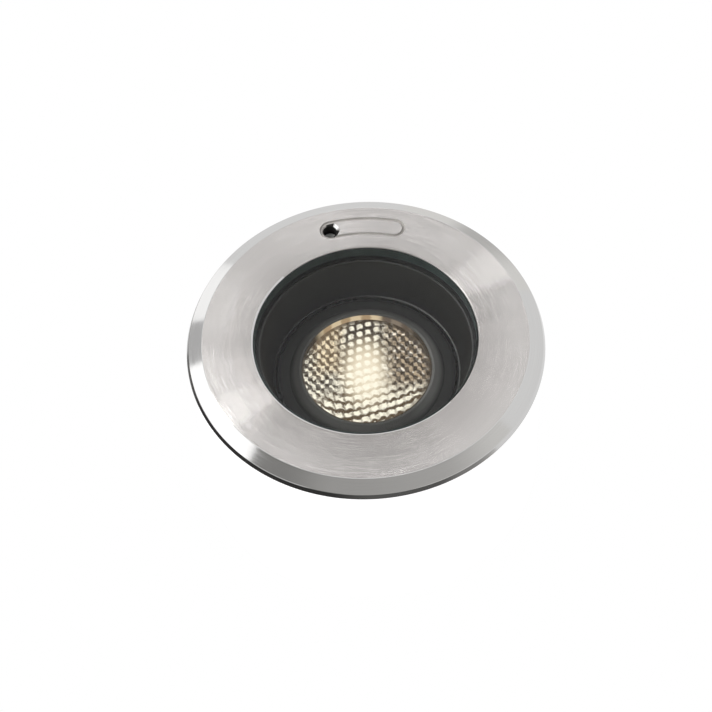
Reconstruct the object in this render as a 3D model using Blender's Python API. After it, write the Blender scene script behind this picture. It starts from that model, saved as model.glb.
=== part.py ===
# Recessed adjustable spotlight, face up: a steel trim ring with a thick flush glass, a black
# conical baffle, and a lamp head that tilts on a cross pin. A screw behind a small hole in the
# ring drives a traveller up and down, and a forked lever on the lamp head follows its pins.
#
# The origin is the centre of the trim's underside, where the light rests on the surface that
# it is let into. +Z is the way the light leaves. Everything below Z = 0 is inside the cut-out.

import math

import bmesh
import bpy
from mathutils import Matrix, Vector

# Clearances
GAP = 0.0003                    # between pieces that touch
RUNNING_GAP = 0.0001            # round a shaft that turns
OVERRUN = 0.0020                # how far a cut runs past its wall
MERGE_DISTANCE = 0.000001

# Sides of round pieces
WIDE_SIDES = 44
MIDDLE_SIDES = 32
SMALL_SIDES = 16
SCREW_SIDES = 10
WIRE_SIDES = 8
SMOOTH_ANGLE = math.radians(35)

# Trim ring
RING_OVERHANG = 0.0110          # past the barrel's side
RING_HEIGHT = 0.0065            # underside to top face
RIM_HEIGHT = 0.0030             # upright outer rim
RIM_LEAN = 0.0018
BEVEL_WIDTH = 0.0060
OPENING_STEP = 0.0030           # the baffle's mouth lies this far inside the opening
LIP_THICKNESS = 0.0021          # the ring over the glass
LAND_WIDTH = 0.0070             # the part of the underside that rests on the surface
LAND_RELIEF = 0.0005            # the rest of the underside is higher by this

# Cover glass and its gaskets
GLASS_LAP = 0.0035              # how far the ring's lip reaches over the glass
GLASS_RIM_THICKNESS = 0.0030
GLASS_SINK = 0.0003             # the glass's face lies under the ring's by this
GLASS_SLACK = 0.0008            # round the glass
UPPER_GASKET_THICKNESS = 0.0006
LOWER_GASKET_THICKNESS = 0.0008
LOWER_GASKET_WIDTH = 0.0058

# Baffle
BAFFLE_FLARE = 0.0064           # the mouth is wider than the foot by this
HEAD_CLEARANCE = 0.0074         # between the bezel and the baffle's foot
BAFFLE_CLEARANCE = 0.0009       # over the pivot spacers
BAFFLE_WALL = 0.0016
BAFFLE_FLANGE_THICKNESS = 0.0028

# Housing
BARREL_WALL = 0.0030
HEAD_ROOM = 0.0135              # under the lamp head's fins, for its tilt
LEDGE_THICKNESS = 0.0020        # the shelf that carries the baffle
LEDGE_WIDTH = 0.0031
FIN_COUNT = 30
FIN_THICKNESS = 0.0020
FIN_HEIGHT = 0.0030
FIN_TOP_DEPTH = 0.0080
FIN_END_MARGIN = 0.0080         # fins stop this far above the barrel's rear end
FIN_END_SLOPE = 0.0040

# Screws that are driven from below through the flange into the ring
TRIM_SCREW_COUNT = 4
TRIM_SCREW_INSET = 0.0074       # from the rebate for the glass to the screws
TRIM_SCREW_RADIUS = 0.0017
TRIM_SCREW_HEAD_RADIUS = 0.0030
TRIM_SCREW_HEAD_HEIGHT = 0.0020
TRIM_SCREW_BITE = 0.0033        # how far the screw enters the ring

# Tilt axis
PIVOT_AZIMUTH = math.radians(13)
TILT_LIMIT = math.radians(15)
PIVOT_RADIUS = 0.0020
PIVOT_BOSS_RADIUS = 0.0034
PIVOT_BOSS_LENGTH = 0.0080      # past the lamp head's side
PIVOT_BITE = 0.0055             # how far a pin enters its boss
PIVOT_HEAD_RADIUS = 0.0034
PIVOT_HEAD_HEIGHT = 0.0016

# Hanging brackets that carry the pivot pins
BRACKET_SETBACK = 0.0036        # inner face, inside the rebate for the glass
BRACKET_THICKNESS = 0.0020
BRACKET_WIDTH = 0.0120
BRACKET_FOOT = 0.0170           # length of the foot under the flange
BRACKET_TAIL = 0.0050           # below the pivot
BRACKET_SCREW_RADIUS = 0.0015
BRACKET_SCREW_HEAD_RADIUS = 0.0028
BRACKET_SCREW_HEAD_HEIGHT = 0.0018
BRACKET_SCREW_BITE = 0.0040

# Lamp head: bezel and lens
BEZEL_RADIUS = 0.0395
BEZEL_SLOPE_WIDTH = 0.0050
BEZEL_TOP_DEPTH = 0.0207        # trim's underside to the bezel's lip
BEZEL_HEIGHT = 0.0043
BRIM_THICKNESS = 0.0008         # the brim hides the pivots from above
BRIM_CLEARANCE = 0.0014         # between the brim and the baffle's foot
BEZEL_EDGE = 0.0002             # upright step over the brim
BEZEL_LIP_WIDTH = 0.0012
LENS_SEAT_DEPTH = 0.0028        # lip to the lens's face
LENS_LAP = 0.0016               # how far the lens reaches under the lip
LENS_THICKNESS = 0.0023
LENS_FIELD_MARGIN = 0.0006      # plain border inside the window
CELL_PITCH = 0.00456            # lenslets along a row
ROW_SPACING = 0.00460
ROW_AZIMUTH = math.radians(15.3)
ROW_SHIFT_SHARE = 0.34          # each row starts this share of a pitch further on
ROW_WAVE = 0.00070
LENSLET_HEIGHT = 0.00090
LENSLET_SHOULDER_SHARE = 0.62   # height of the ring round a lenslet's crown
LENSLET_INSET = 0.00110
LENSLET_ROOT = 0.0010           # how far the field of lenslets reaches into the plate

# Lamp head: body, reflector and light source
SINK_INSET = 0.0025             # inside the bezel's edge
SINK_WALL = 0.0034
SINK_CAVITY_DEPTH = 0.0196      # the sink's top to its floor
SINK_BASE_THICKNESS = 0.0041
SINK_FIN_COUNT = 9
SINK_FIN_THICKNESS = 0.0018
SINK_FIN_HEIGHT = 0.0090
SINK_FIN_MARGIN = 0.0010        # the fins stop this far inside the sink's side
REFLECTOR_FLANGE_THICKNESS = 0.0015
REFLECTOR_INSET = 0.0017        # inside the sink's cavity
REFLECTOR_THROAT_RADIUS = 0.0090
REFLECTOR_WALL = 0.0010
REFLECTOR_STEPS = 5
BOARD_RADIUS = 0.0140
BOARD_THICKNESS = 0.0014
HOLDER_RADIUS = 0.0130
HOLDER_BORE_RADIUS = 0.0072
HOLDER_THICKNESS = 0.0010
EMITTER_RADIUS = 0.0066
EMITTER_THICKNESS = 0.0007

# Adjusting screw, its bush and its traveller
ADJUSTER_INSET = 0.0096         # from the rebate for the glass to the screw's axis
ACCESS_RADIUS = 0.0045          # the hole in the ring
ADJUSTER_RADIUS = 0.0025
ADJUSTER_HEAD_RADIUS = 0.0034
ADJUSTER_HEAD_HEIGHT = 0.0030
ADJUSTER_HEAD_DROP = 0.0004     # the head's top lies under the trim's underside by this
SOCKET_RADIUS = 0.0018
SOCKET_DEPTH = 0.0020
BUSH_RADIUS = 0.0047
BUSH_COLLAR_RADIUS = 0.0055
BUSH_COLLAR_THICKNESS = 0.0014
O_RING_WIRE_RADIUS = 0.00055
O_RING_RADIUS = 0.0043          # middle of the ring's wire
CLIP_RADIUS = 0.0043
CLIP_THICKNESS = 0.0008
CLIP_GROOVE = 0.0006            # depth of the groove in the shank
CLIP_MOUTH = 0.0030
NUT_RADIAL = 0.0078
NUT_TANGENTIAL = 0.0130
NUT_HEIGHT = 0.0090
NUT_PIN_RADIUS = 0.0020
NUT_PIN_REACH = 0.0104          # from the screw's axis to a pin's end
FOOT_CLEARANCE = 0.0035         # the traveller stops this far over the foot
FOOT_HEIGHT = 0.0080
FOOT_WIDTH = 0.0100
FOOT_REACH = 0.0050             # from the screw's axis towards the light's axis
FOOT_BORE_DEPTH = 0.0050

# Forked tilt lever
FORK_GAP = 0.0140               # between the two plates
FORK_PLATE = 0.0025
WEB_THICKNESS = 0.0025
SLOT_CLEARANCE = 0.0005         # over and under a pin
SLOT_INNER_MARGIN = 0.0012      # between a pin and the slot's closed end
TINE_THICKNESS = 0.0025
TINE_OVERHANG = 0.0040          # past the screw's axis
LEVER_OFFSET = 0.0040           # the slot lies under the tilt axis by this
LEVER_LOW_TOP = 0.0100          # the inner stretch lies under the tilt axis by this
LEVER_LOW_HEIGHT = 0.0090
LEVER_RISE_ROOM = 0.0075        # past the baffle's foot, where it climbs
LEVER_RISE_RUN = 0.0050
LEVER_PAD_HEIGHT = 0.0005       # the pad on the lamp head, past its round side
LEVER_SCREW_RADIUS = 0.0013
LEVER_SCREW_HEAD_RADIUS = 0.0024
LEVER_SCREW_HEAD_HEIGHT = 0.0016
LEVER_SCREW_BITE = 0.0024
LEVER_SCREW_SPACING = 0.0084

# Rear cover and its screws
COVER_THICKNESS = 0.0040
COVER_SEAL_THICKNESS = 0.0010
COVER_SEAL_MARGIN = 0.0004
COVER_RIB_HEIGHT = 0.0015
COVER_RIB_INSET = 0.0085        # inside the cover screws' circle
COVER_RIB_WIDTH = 0.0030
COVER_SCREW_COUNT = 4
COVER_SCREW_RADIUS = 0.0015
COVER_SCREW_HEAD_RADIUS = 0.0028
COVER_SCREW_HEAD_HEIGHT = 0.0018
COVER_SCREW_BITE = 0.0100
COVER_BOSS_RADIUS = 0.0045
COVER_BOSS_HEIGHT = 0.0160
COVER_BOSS_SINK = 0.0010        # how far a boss is let into the barrel's wall

# Driver, tray and terminal block
TRAY_EAR = 0.0100               # past each end of the driver
TRAY_THICKNESS = 0.0015
TRAY_MARGIN = 0.0030
TRAY_SCREW_INSET = 0.0040
TRAY_SCREW_RADIUS = 0.0013
TRAY_SCREW_HEAD_RADIUS = 0.0024
TRAY_SCREW_HEAD_HEIGHT = 0.0016
TRAY_SCREW_BITE = 0.0025
DRIVER_LENGTH = 0.0560
DRIVER_WIDTH = 0.0400
DRIVER_HEIGHT = 0.0200
DRIVER_CORNER = 0.0015
DRIVER_OFFSET = 0.0220          # towards +Y
BLOCK_LENGTH = 0.0300
BLOCK_WIDTH = 0.0120
BLOCK_HEIGHT = 0.0110
BLOCK_SPACING = 0.0040          # between the driver and the terminal block
BLOCK_WAYS = 3
BLOCK_PORT_RADIUS = 0.0017
BLOCK_PORT_DEPTH = 0.0045

# Cable gland
GLAND_MARGIN = 0.0035           # between the hexagon's corner and the rib
GLAND_THREAD_RADIUS = 0.0078
GLAND_BORE_RADIUS = 0.0042
GLAND_HEX_RADIUS = 0.0115
GLAND_HEX_HEIGHT = 0.0050
GLAND_TAIL = 0.0080             # thread below the hexagon
GLAND_LOCKNUT_HEIGHT = 0.0035
GLAND_THREAD_END = 0.0010       # past the locknut
GLAND_NUT_RADIUS = 0.0105
GLAND_NUT_MOUTH_RADIUS = 0.0048
GLAND_NUT_MOUTH_THICKNESS = 0.0024
GLAND_NUT_DOME = 0.0030
GLAND_SEAL_BORE_RADIUS = 0.0034
GLAND_SEAL_THICKNESS = 0.0032

# Leaf springs that hold the light in its cut-out
SPRING_COUNT = 3
SPRING_AZIMUTH = math.radians(36)
SPRING_DEPTH = 0.0600           # the bend over the pad
SPRING_WIDTH = 0.0120
SPRING_THICKNESS = 0.0009
SPRING_PAD = 0.0060
SPRING_CREST_RISE = 0.0380
SPRING_CREST_OUT = 0.0062
SPRING_TIP_RISE = 0.0460
SPRING_TIP_OUT = 0.0038
RIVET_RADIUS = 0.0011
RIVET_HEAD_RADIUS = 0.0018
RIVET_HEAD_HEIGHT = 0.0010
RIVET_DROP = 0.0026             # below the bend
RIVET_BITE = 0.0020

# Radii, from the bezel outwards
baffle_bottom_radius = BEZEL_RADIUS + HEAD_CLEARANCE
baffle_top_radius = baffle_bottom_radius + BAFFLE_FLARE
opening_radius = baffle_top_radius + OPENING_STEP
glass_radius = opening_radius + GLASS_LAP
rebate_radius = glass_radius + GLASS_SLACK
adjuster_circle = rebate_radius + ADJUSTER_INSET
trim_screw_circle = rebate_radius + TRIM_SCREW_INSET
bracket_radius = rebate_radius - BRACKET_SETBACK
barrel_inside = adjuster_circle + BUSH_COLLAR_RADIUS + GAP
barrel_radius = barrel_inside + BARREL_WALL
ring_radius = barrel_radius + RING_OVERHANG
cover_screw_circle = barrel_inside - COVER_BOSS_RADIUS + COVER_BOSS_SINK
cover_rib_radius = cover_screw_circle - COVER_RIB_INSET
gland_offset = cover_rib_radius - COVER_RIB_WIDTH - GLAND_MARGIN - GLAND_HEX_RADIUS
lever_rise_start = baffle_bottom_radius + BAFFLE_WALL + LEVER_RISE_ROOM

# Radii of the lamp head
brim_radius = baffle_bottom_radius - BRIM_CLEARANCE
bezel_lip_radius = BEZEL_RADIUS - BEZEL_SLOPE_WIDTH
window_radius = bezel_lip_radius - BEZEL_LIP_WIDTH
lens_radius = window_radius + LENS_LAP
sink_radius = BEZEL_RADIUS - SINK_INSET
sink_cavity_radius = sink_radius - SINK_WALL
reflector_mouth_radius = sink_cavity_radius - REFLECTOR_INSET
pivot_boss_reach = sink_radius + PIVOT_BOSS_LENGTH

# Heights of the stack under the ring's face, top down
lip_under = RING_HEIGHT - LIP_THICKNESS
upper_gasket_top = lip_under - GAP
upper_gasket_under = upper_gasket_top - UPPER_GASKET_THICKNESS
glass_rim_top = upper_gasket_under - GAP
glass_under = glass_rim_top - GLASS_RIM_THICKNESS
lower_gasket_top = glass_under - GAP
lower_gasket_under = lower_gasket_top - LOWER_GASKET_THICKNESS
baffle_top = lower_gasket_under - GAP
baffle_flange_under = baffle_top - BAFFLE_FLANGE_THICKNESS
ledge_top = baffle_flange_under - GAP
flange_under = ledge_top - LEDGE_THICKNESS
housing_top = LAND_RELIEF - GAP

# Heights of the lamp head
bezel_top = -BEZEL_TOP_DEPTH
bezel_under = bezel_top - BEZEL_HEIGHT
lens_seat = bezel_top - LENS_SEAT_DEPTH
lens_top = lens_seat - GAP
lens_under = lens_top - LENS_THICKNESS
sink_top = bezel_under - GAP
reflector_top = lens_under - GAP
reflector_flange_under = reflector_top - REFLECTOR_FLANGE_THICKNESS
sink_ledge = reflector_flange_under - GAP
sink_floor = sink_top - SINK_CAVITY_DEPTH
sink_under = sink_floor - SINK_BASE_THICKNESS
board_under = sink_floor + GAP
board_top = board_under + BOARD_THICKNESS
holder_under = board_top + GAP
holder_top = holder_under + HOLDER_THICKNESS
reflector_under = holder_top + GAP
pivot_height = sink_top - GAP - PIVOT_BOSS_RADIUS
baffle_under = pivot_height + PIVOT_BOSS_RADIUS + BAFFLE_CLEARANCE

# Heights of the rear end, which holds the supply clear of the lamp head
driver_top = sink_under - SINK_FIN_HEIGHT - HEAD_ROOM
driver_under = driver_top - DRIVER_HEIGHT
tray_top = driver_under - GAP
tray_under = tray_top - TRAY_THICKNESS
cover_top = tray_under - GAP
cover_under = cover_top - COVER_THICKNESS
seal_under = cover_top + GAP
seal_top = seal_under + COVER_SEAL_THICKNESS
housing_under = seal_top + GAP

# The tray reaches past the driver for its screws
tray_length = DRIVER_LENGTH + 2 * TRAY_EAR

# The adjuster stands a quarter turn from the tilt axis
adjuster_azimuth = PIVOT_AZIMUTH + math.pi / 2
adjuster_head_top = -ADJUSTER_HEAD_DROP
adjuster_head_under = adjuster_head_top - ADJUSTER_HEAD_HEIGHT
bush_collar_top = flange_under - GAP
bush_under = bush_collar_top - BUSH_COLLAR_THICKNESS
clip_top = bush_under - GAP
travel = adjuster_circle * math.tan(TILT_LIMIT)
slot_height = pivot_height - LEVER_OFFSET
foot_top = slot_height - travel - NUT_HEIGHT / 2 - FOOT_CLEARANCE
foot_bore_under = foot_top - FOOT_BORE_DEPTH

# The screws stand between the tilt axis and the adjuster
screw_azimuth = PIVOT_AZIMUTH + math.pi / 4

# Colour, roughness, metallic and alpha
FINISHES = {
    "turned steel": ((0.60, 0.59, 0.57), 0.28, 1.0, 1.0),
    "bright steel": ((0.55, 0.55, 0.55), 0.25, 1.0, 1.0),
    "spring steel": ((0.42, 0.42, 0.43), 0.35, 1.0, 1.0),
    "brass": ((0.66, 0.48, 0.20), 0.35, 1.0, 1.0),
    "cast aluminium": ((0.46, 0.46, 0.47), 0.50, 1.0, 1.0),
    "black coat": ((0.030, 0.030, 0.028), 0.55, 0.0, 1.0),
    "grey coat": ((0.055, 0.055, 0.052), 0.45, 0.0, 1.0),
    "clear glass": ((0.90, 0.95, 0.94), 0.02, 0.0, 0.12),
    "lens": ((0.95, 0.90, 0.76), 0.15, 0.0, 1.0),
    "reflector": ((0.85, 0.84, 0.80), 0.12, 1.0, 1.0),
    "black rubber": ((0.020, 0.020, 0.020), 0.80, 0.0, 1.0),
    "grey rubber": ((0.16, 0.22, 0.22), 0.75, 0.0, 1.0),
    "white board": ((0.80, 0.80, 0.76), 0.45, 0.0, 1.0),
    "yellow phosphor": ((0.90, 0.70, 0.16), 0.40, 0.0, 1.0),
    "black plastic": ((0.025, 0.025, 0.027), 0.45, 0.0, 1.0),
    "white plastic": ((0.78, 0.78, 0.75), 0.40, 0.0, 1.0),
}


# Placing

def moved(x=0.0, y=0.0, z=0.0):
    return Matrix.Translation((x, y, z))


def turned_to(azimuth):
    return Matrix.Rotation(azimuth, 4, "Z")


def spot(radius, azimuth, height=0.0):
    """A place at a radius and azimuth round the light's axis, its X pointing outward."""
    return turned_to(azimuth) @ moved(radius, 0.0, height)


def outward(radius, azimuth, height):
    """The same place with its Z pointing outward, for pins and screws that lie level."""
    return spot(radius, azimuth, height) @ Matrix.Rotation(math.pi / 2, 4, "Y")


def azimuths(count, first):
    return [first + 2 * math.pi * index / count for index in range(count)]


# Solids

def closed(mesh):
    bmesh.ops.remove_doubles(mesh, verts=mesh.verts, dist=MERGE_DISTANCE)
    bmesh.ops.recalc_face_normals(mesh, faces=mesh.faces)
    return mesh


def turned(outline, sides):
    """A solid of revolution round Z from a closed outline of radius and height."""
    mesh = bmesh.new()
    points = [mesh.verts.new((radius, 0.0, height)) for radius, height in outline]
    edges = []
    for first, second in zip(points, points[1:] + points[:1]):
        if first.co.x > 0.0 or second.co.x > 0.0:
            edges.append(mesh.edges.new((first, second)))
    bmesh.ops.spin(
        mesh, geom=points + edges, cent=(0.0, 0.0, 0.0), axis=(0.0, 0.0, 1.0),
        angle=2 * math.pi, steps=sides,
    )
    return closed(mesh)


def extruded(outline, low, high):
    """A prism that stands on an outline of X and Y, from one height to another."""
    mesh = bmesh.new()
    face = mesh.faces.new([mesh.verts.new((x, y, low)) for x, y in outline])
    grown = bmesh.ops.extrude_face_region(mesh, geom=[face])["geom"]
    raised = [item for item in grown if isinstance(item, bmesh.types.BMVert)]
    bmesh.ops.translate(mesh, verts=raised, vec=(0.0, 0.0, high - low))
    return closed(mesh)


def side_extruded(outline, width):
    """A prism across the radial direction, from an outline of X and Z."""
    mesh = extruded(outline, -width / 2, width / 2)
    bmesh.ops.transform(mesh, matrix=Matrix.Rotation(math.pi / 2, 4, "X"), verts=mesh.verts)
    return mesh


def block(low, high):
    """A box between two corners."""
    outline = [(low[0], low[1]), (high[0], low[1]), (high[0], high[1]), (low[0], high[1])]
    return extruded(outline, low[2], high[2])


def cylinder(radius, low, high, sides=SMALL_SIDES):
    return turned([(0.0, low), (radius, low), (radius, high), (0.0, high)], sides)


def ring_outline(inner, outer, low, high):
    return [(inner, low), (outer, low), (outer, high), (inner, high)]


def placed(mesh, place):
    bmesh.ops.transform(mesh, matrix=place, verts=mesh.verts)
    return mesh


def gathered(meshes):
    """Several solids in one mesh, for a tool that works in several places."""
    whole = bmesh.new()
    for mesh in meshes:
        single = bpy.data.meshes.new("single")
        mesh.to_mesh(single)
        mesh.free()
        whole.from_mesh(single)
        bpy.data.meshes.remove(single)
    return whole


def finished(name, finish):
    colour, roughness, metallic, alpha = FINISHES[finish]
    surface = bpy.data.materials.new(name)
    surface.use_nodes = True
    shader = surface.node_tree.nodes["Principled BSDF"]
    shader.inputs["Base Color"].default_value = (*colour, 1.0)
    shader.inputs["Roughness"].default_value = roughness
    shader.inputs["Metallic"].default_value = metallic
    shader.inputs["Alpha"].default_value = alpha
    return surface


def linked(name, mesh, place):
    data = bpy.data.meshes.new(name)
    mesh.to_mesh(data)
    mesh.free()
    data.shade_smooth()
    data.set_sharp_from_angle(angle=SMOOTH_ANGLE)
    thing = bpy.data.objects.new(name, data)
    bpy.context.scene.collection.objects.link(thing)
    thing.matrix_world = place
    return thing


def held_by(thing, carrier):
    thing.parent = carrier
    thing.matrix_parent_inverse = carrier.matrix_world.inverted()


def piece(name, mesh, finish, place=Matrix.Identity(4), carrier=None):
    thing = linked(name, mesh, place)
    thing.data.materials.append(finished(name, finish))
    if carrier is not None:
        held_by(thing, carrier)
    return thing


def worked(thing, label, mesh, place=Matrix.Identity(4), operation="DIFFERENCE"):
    """Cuts a solid from a piece, or joins one to it. The tool stays with its piece, hidden."""
    tool = linked(thing.name + "_" + label, mesh, place)
    tool.hide_render = True
    tool.display_type = "WIRE"
    held_by(tool, thing)
    step = thing.modifiers.new(label, "BOOLEAN")
    step.operation = operation
    step.solver = "EXACT"
    step.object = tool


def drilled(thing, label, radius, places, low, high, sides=SCREW_SIDES):
    holes = [placed(cylinder(radius, low, high, sides), place) for place in places]
    worked(thing, label, gathered(holes))


def joint_axis(name, place):
    axis = bpy.data.objects.new(name, None)
    bpy.context.scene.collection.objects.link(axis)
    axis.empty_display_size = glass_radius
    axis.matrix_world = place
    return axis


def screw_solid(radius, head_radius, head_height, reach):
    """A screw with its head's bearing face at the origin and its shank along +Z."""
    outline = [
        (0.0, -head_height), (head_radius, -head_height), (head_radius, 0.0),
        (radius, 0.0), (radius, reach), (0.0, reach),
    ]
    return turned(outline, SCREW_SIDES)


# Ring, glass and baffle

def make_trim_ring():
    rim_top_radius = ring_radius - RIM_LEAN
    land_inside = ring_radius - LAND_WIDTH
    outline = [
        (ring_radius, 0.0),
        (rim_top_radius, RIM_HEIGHT),
        (rim_top_radius - BEVEL_WIDTH, RING_HEIGHT),
        (opening_radius, RING_HEIGHT),
        (opening_radius, lip_under),
        (rebate_radius, lip_under),
        (rebate_radius, LAND_RELIEF),
        (land_inside, LAND_RELIEF),
        (land_inside, 0.0),
    ]
    ring = piece("trim_ring", turned(outline, WIDE_SIDES), "turned steel")
    screws = [spot(trim_screw_circle, turn) for turn in azimuths(TRIM_SCREW_COUNT, screw_azimuth)]
    drilled(
        ring, "screw_holes", TRIM_SCREW_RADIUS + GAP, screws,
        LAND_RELIEF - OVERRUN, LAND_RELIEF + TRIM_SCREW_BITE + GAP,
    )
    access = spot(adjuster_circle, adjuster_azimuth)
    drilled(ring, "access_hole", ACCESS_RADIUS, [access], -OVERRUN, RING_HEIGHT + OVERRUN, SMALL_SIDES)


def make_glass():
    gasket_inside = opening_radius + GAP
    gasket_outside = glass_radius - GAP
    upper = ring_outline(gasket_inside, gasket_outside, upper_gasket_under, upper_gasket_top)
    piece("upper_glass_gasket", turned(upper, WIDE_SIDES), "grey rubber")
    crown_radius = opening_radius - GAP
    crown_top = RING_HEIGHT - GLASS_SINK
    outline = [
        (0.0, glass_under),
        (glass_radius, glass_under),
        (glass_radius, glass_rim_top),
        (crown_radius, glass_rim_top),
        (crown_radius, crown_top),
        (0.0, crown_top),
    ]
    piece("cover_glass", turned(outline, WIDE_SIDES), "clear glass")
    lower = ring_outline(glass_radius - LOWER_GASKET_WIDTH, glass_radius, lower_gasket_under, lower_gasket_top)
    piece("lower_glass_gasket", turned(lower, WIDE_SIDES), "black rubber")


def make_baffle():
    flange_radius = rebate_radius - GAP
    outline = [
        (baffle_top_radius, baffle_top),
        (flange_radius, baffle_top),
        (flange_radius, baffle_flange_under),
        (baffle_top_radius + BAFFLE_WALL, baffle_flange_under),
        (baffle_bottom_radius + BAFFLE_WALL, baffle_under),
        (baffle_bottom_radius, baffle_under),
    ]
    piece("baffle", turned(outline, WIDE_SIDES), "black coat")


# Housing

def barrel_fins():
    """Cooling fins up the barrel, one left out behind each leaf spring."""
    root = barrel_radius - BARREL_WALL / 2
    tip = barrel_radius + FIN_HEIGHT
    top = -FIN_TOP_DEPTH
    under = housing_under + FIN_END_MARGIN
    outline = [(root, top), (tip, top - FIN_END_SLOPE), (tip, under + FIN_END_SLOPE), (root, under)]
    room = (SPRING_WIDTH + FIN_THICKNESS) / 2 + OVERRUN
    springs = azimuths(SPRING_COUNT, SPRING_AZIMUTH)
    fins = []
    for azimuth in azimuths(FIN_COUNT, 0.0):
        offsets = [abs(math.remainder(azimuth - spring, 2 * math.pi)) for spring in springs]
        if min(offsets) * barrel_radius > room:
            fins.append(placed(side_extruded(outline, FIN_THICKNESS), turned_to(azimuth)))
    return gathered(fins)


def make_housing():
    outline = [
        (barrel_radius, housing_top),
        (barrel_radius, housing_under),
        (barrel_inside, housing_under),
        (barrel_inside, flange_under),
        (rebate_radius - LEDGE_WIDTH, flange_under),
        (rebate_radius - LEDGE_WIDTH, ledge_top),
        (rebate_radius, ledge_top),
        (rebate_radius, housing_top),
    ]
    housing = piece("housing", turned(outline, WIDE_SIDES), "cast aluminium")
    worked(housing, "fins", barrel_fins(), operation="UNION")
    boss_top = housing_under + COVER_BOSS_HEIGHT
    boss_places = [spot(cover_screw_circle, turn) for turn in azimuths(COVER_SCREW_COUNT, screw_azimuth)]
    bosses = [placed(cylinder(COVER_BOSS_RADIUS, housing_under, boss_top), place) for place in boss_places]
    worked(housing, "cover_bosses", gathered(bosses), operation="UNION")
    foot = block(
        (-FOOT_REACH, -FOOT_WIDTH / 2, foot_top - FOOT_HEIGHT),
        (barrel_inside + BARREL_WALL / 2 - adjuster_circle, FOOT_WIDTH / 2, foot_top),
    )
    adjuster = spot(adjuster_circle, adjuster_azimuth)
    worked(housing, "screw_foot", foot, adjuster, "UNION")
    trim_places = [spot(trim_screw_circle, turn) for turn in azimuths(TRIM_SCREW_COUNT, screw_azimuth)]
    drilled(
        housing, "trim_screw_holes", TRIM_SCREW_RADIUS + GAP, trim_places,
        flange_under - OVERRUN, housing_top + OVERRUN,
    )
    drilled(
        housing, "bush_hole", BUSH_RADIUS + GAP, [adjuster],
        flange_under - OVERRUN, housing_top + OVERRUN, SMALL_SIDES,
    )
    drilled(
        housing, "foot_bore", ADJUSTER_RADIUS + RUNNING_GAP, [adjuster],
        foot_bore_under - GAP, foot_top + OVERRUN, SMALL_SIDES,
    )
    drilled(
        housing, "bracket_screw_holes", BRACKET_SCREW_RADIUS + GAP, bracket_screw_places(),
        -OVERRUN, bracket_screw_reach() + GAP,
    )
    drilled(
        housing, "cover_screw_holes", COVER_SCREW_RADIUS + GAP, boss_places,
        housing_under - OVERRUN, housing_under + COVER_SCREW_BITE + GAP,
    )
    drilled(housing, "rivet_holes", RIVET_RADIUS + GAP, rivet_places(), -RIVET_BITE - GAP, OVERRUN)


def make_trim_screws():
    seat = flange_under - GAP
    reach = LAND_RELIEF + TRIM_SCREW_BITE - seat
    for number, turn in enumerate(azimuths(TRIM_SCREW_COUNT, screw_azimuth), 1):
        solid = screw_solid(TRIM_SCREW_RADIUS, TRIM_SCREW_HEAD_RADIUS, TRIM_SCREW_HEAD_HEIGHT, reach)
        piece(f"trim_screw_{number}", solid, "bright steel", spot(trim_screw_circle, turn, seat))


# Brackets and pivot pins

def bracket_foot_under():
    return flange_under - GAP - BRACKET_THICKNESS


def bracket_screw_reach():
    return BRACKET_THICKNESS + GAP + GAP + BRACKET_SCREW_BITE


def bracket_screw_places():
    middle = bracket_radius + BRACKET_THICKNESS + (BRACKET_FOOT - BRACKET_THICKNESS) / 2
    seat = bracket_foot_under() - GAP
    return [spot(middle, turn, seat) for turn in azimuths(2, PIVOT_AZIMUTH)]


def make_brackets():
    top = flange_under - GAP
    foot_under = bracket_foot_under()
    outside = bracket_radius + BRACKET_THICKNESS
    tail = pivot_height - BRACKET_TAIL
    outline = [
        (bracket_radius, tail),
        (outside, tail),
        (outside, foot_under),
        (bracket_radius + BRACKET_FOOT, foot_under),
        (bracket_radius + BRACKET_FOOT, top),
        (bracket_radius, top),
    ]
    pin_end = pivot_boss_reach - PIVOT_BITE
    pin_seat = outside + GAP
    for number, turn in enumerate(azimuths(2, PIVOT_AZIMUTH), 1):
        bracket = piece(f"bracket_{number}", side_extruded(outline, BRACKET_WIDTH), "bright steel", turned_to(turn))
        pivot_hole = outward(bracket_radius, turn, pivot_height)
        drilled(bracket, "pivot_hole", PIVOT_RADIUS + RUNNING_GAP, [pivot_hole], -OVERRUN, BRACKET_THICKNESS + OVERRUN)
        screw_place = bracket_screw_places()[number - 1]
        drilled(bracket, "screw_hole", BRACKET_SCREW_RADIUS + GAP, [screw_place], -OVERRUN, bracket_screw_reach())
        screw = screw_solid(
            BRACKET_SCREW_RADIUS, BRACKET_SCREW_HEAD_RADIUS, BRACKET_SCREW_HEAD_HEIGHT, bracket_screw_reach(),
        )
        piece(f"bracket_screw_{number}", screw, "bright steel", screw_place)
        pin = screw_solid(PIVOT_RADIUS, PIVOT_HEAD_RADIUS, PIVOT_HEAD_HEIGHT, pin_seat - pin_end)
        inward = outward(pin_seat, turn, pivot_height) @ Matrix.Rotation(math.pi, 4, "X")
        piece(f"pivot_pin_{number}", pin, "bright steel", inward)
        spacer = ring_outline(
            PIVOT_RADIUS + RUNNING_GAP, PIVOT_BOSS_RADIUS, 0.0, bracket_radius - pivot_boss_reach - 2 * GAP,
        )
        place = outward(pivot_boss_reach + GAP, turn, pivot_height)
        piece(f"pivot_spacer_{number}", turned(spacer, SCREW_SIDES), "brass", place)


# Lamp head

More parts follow.
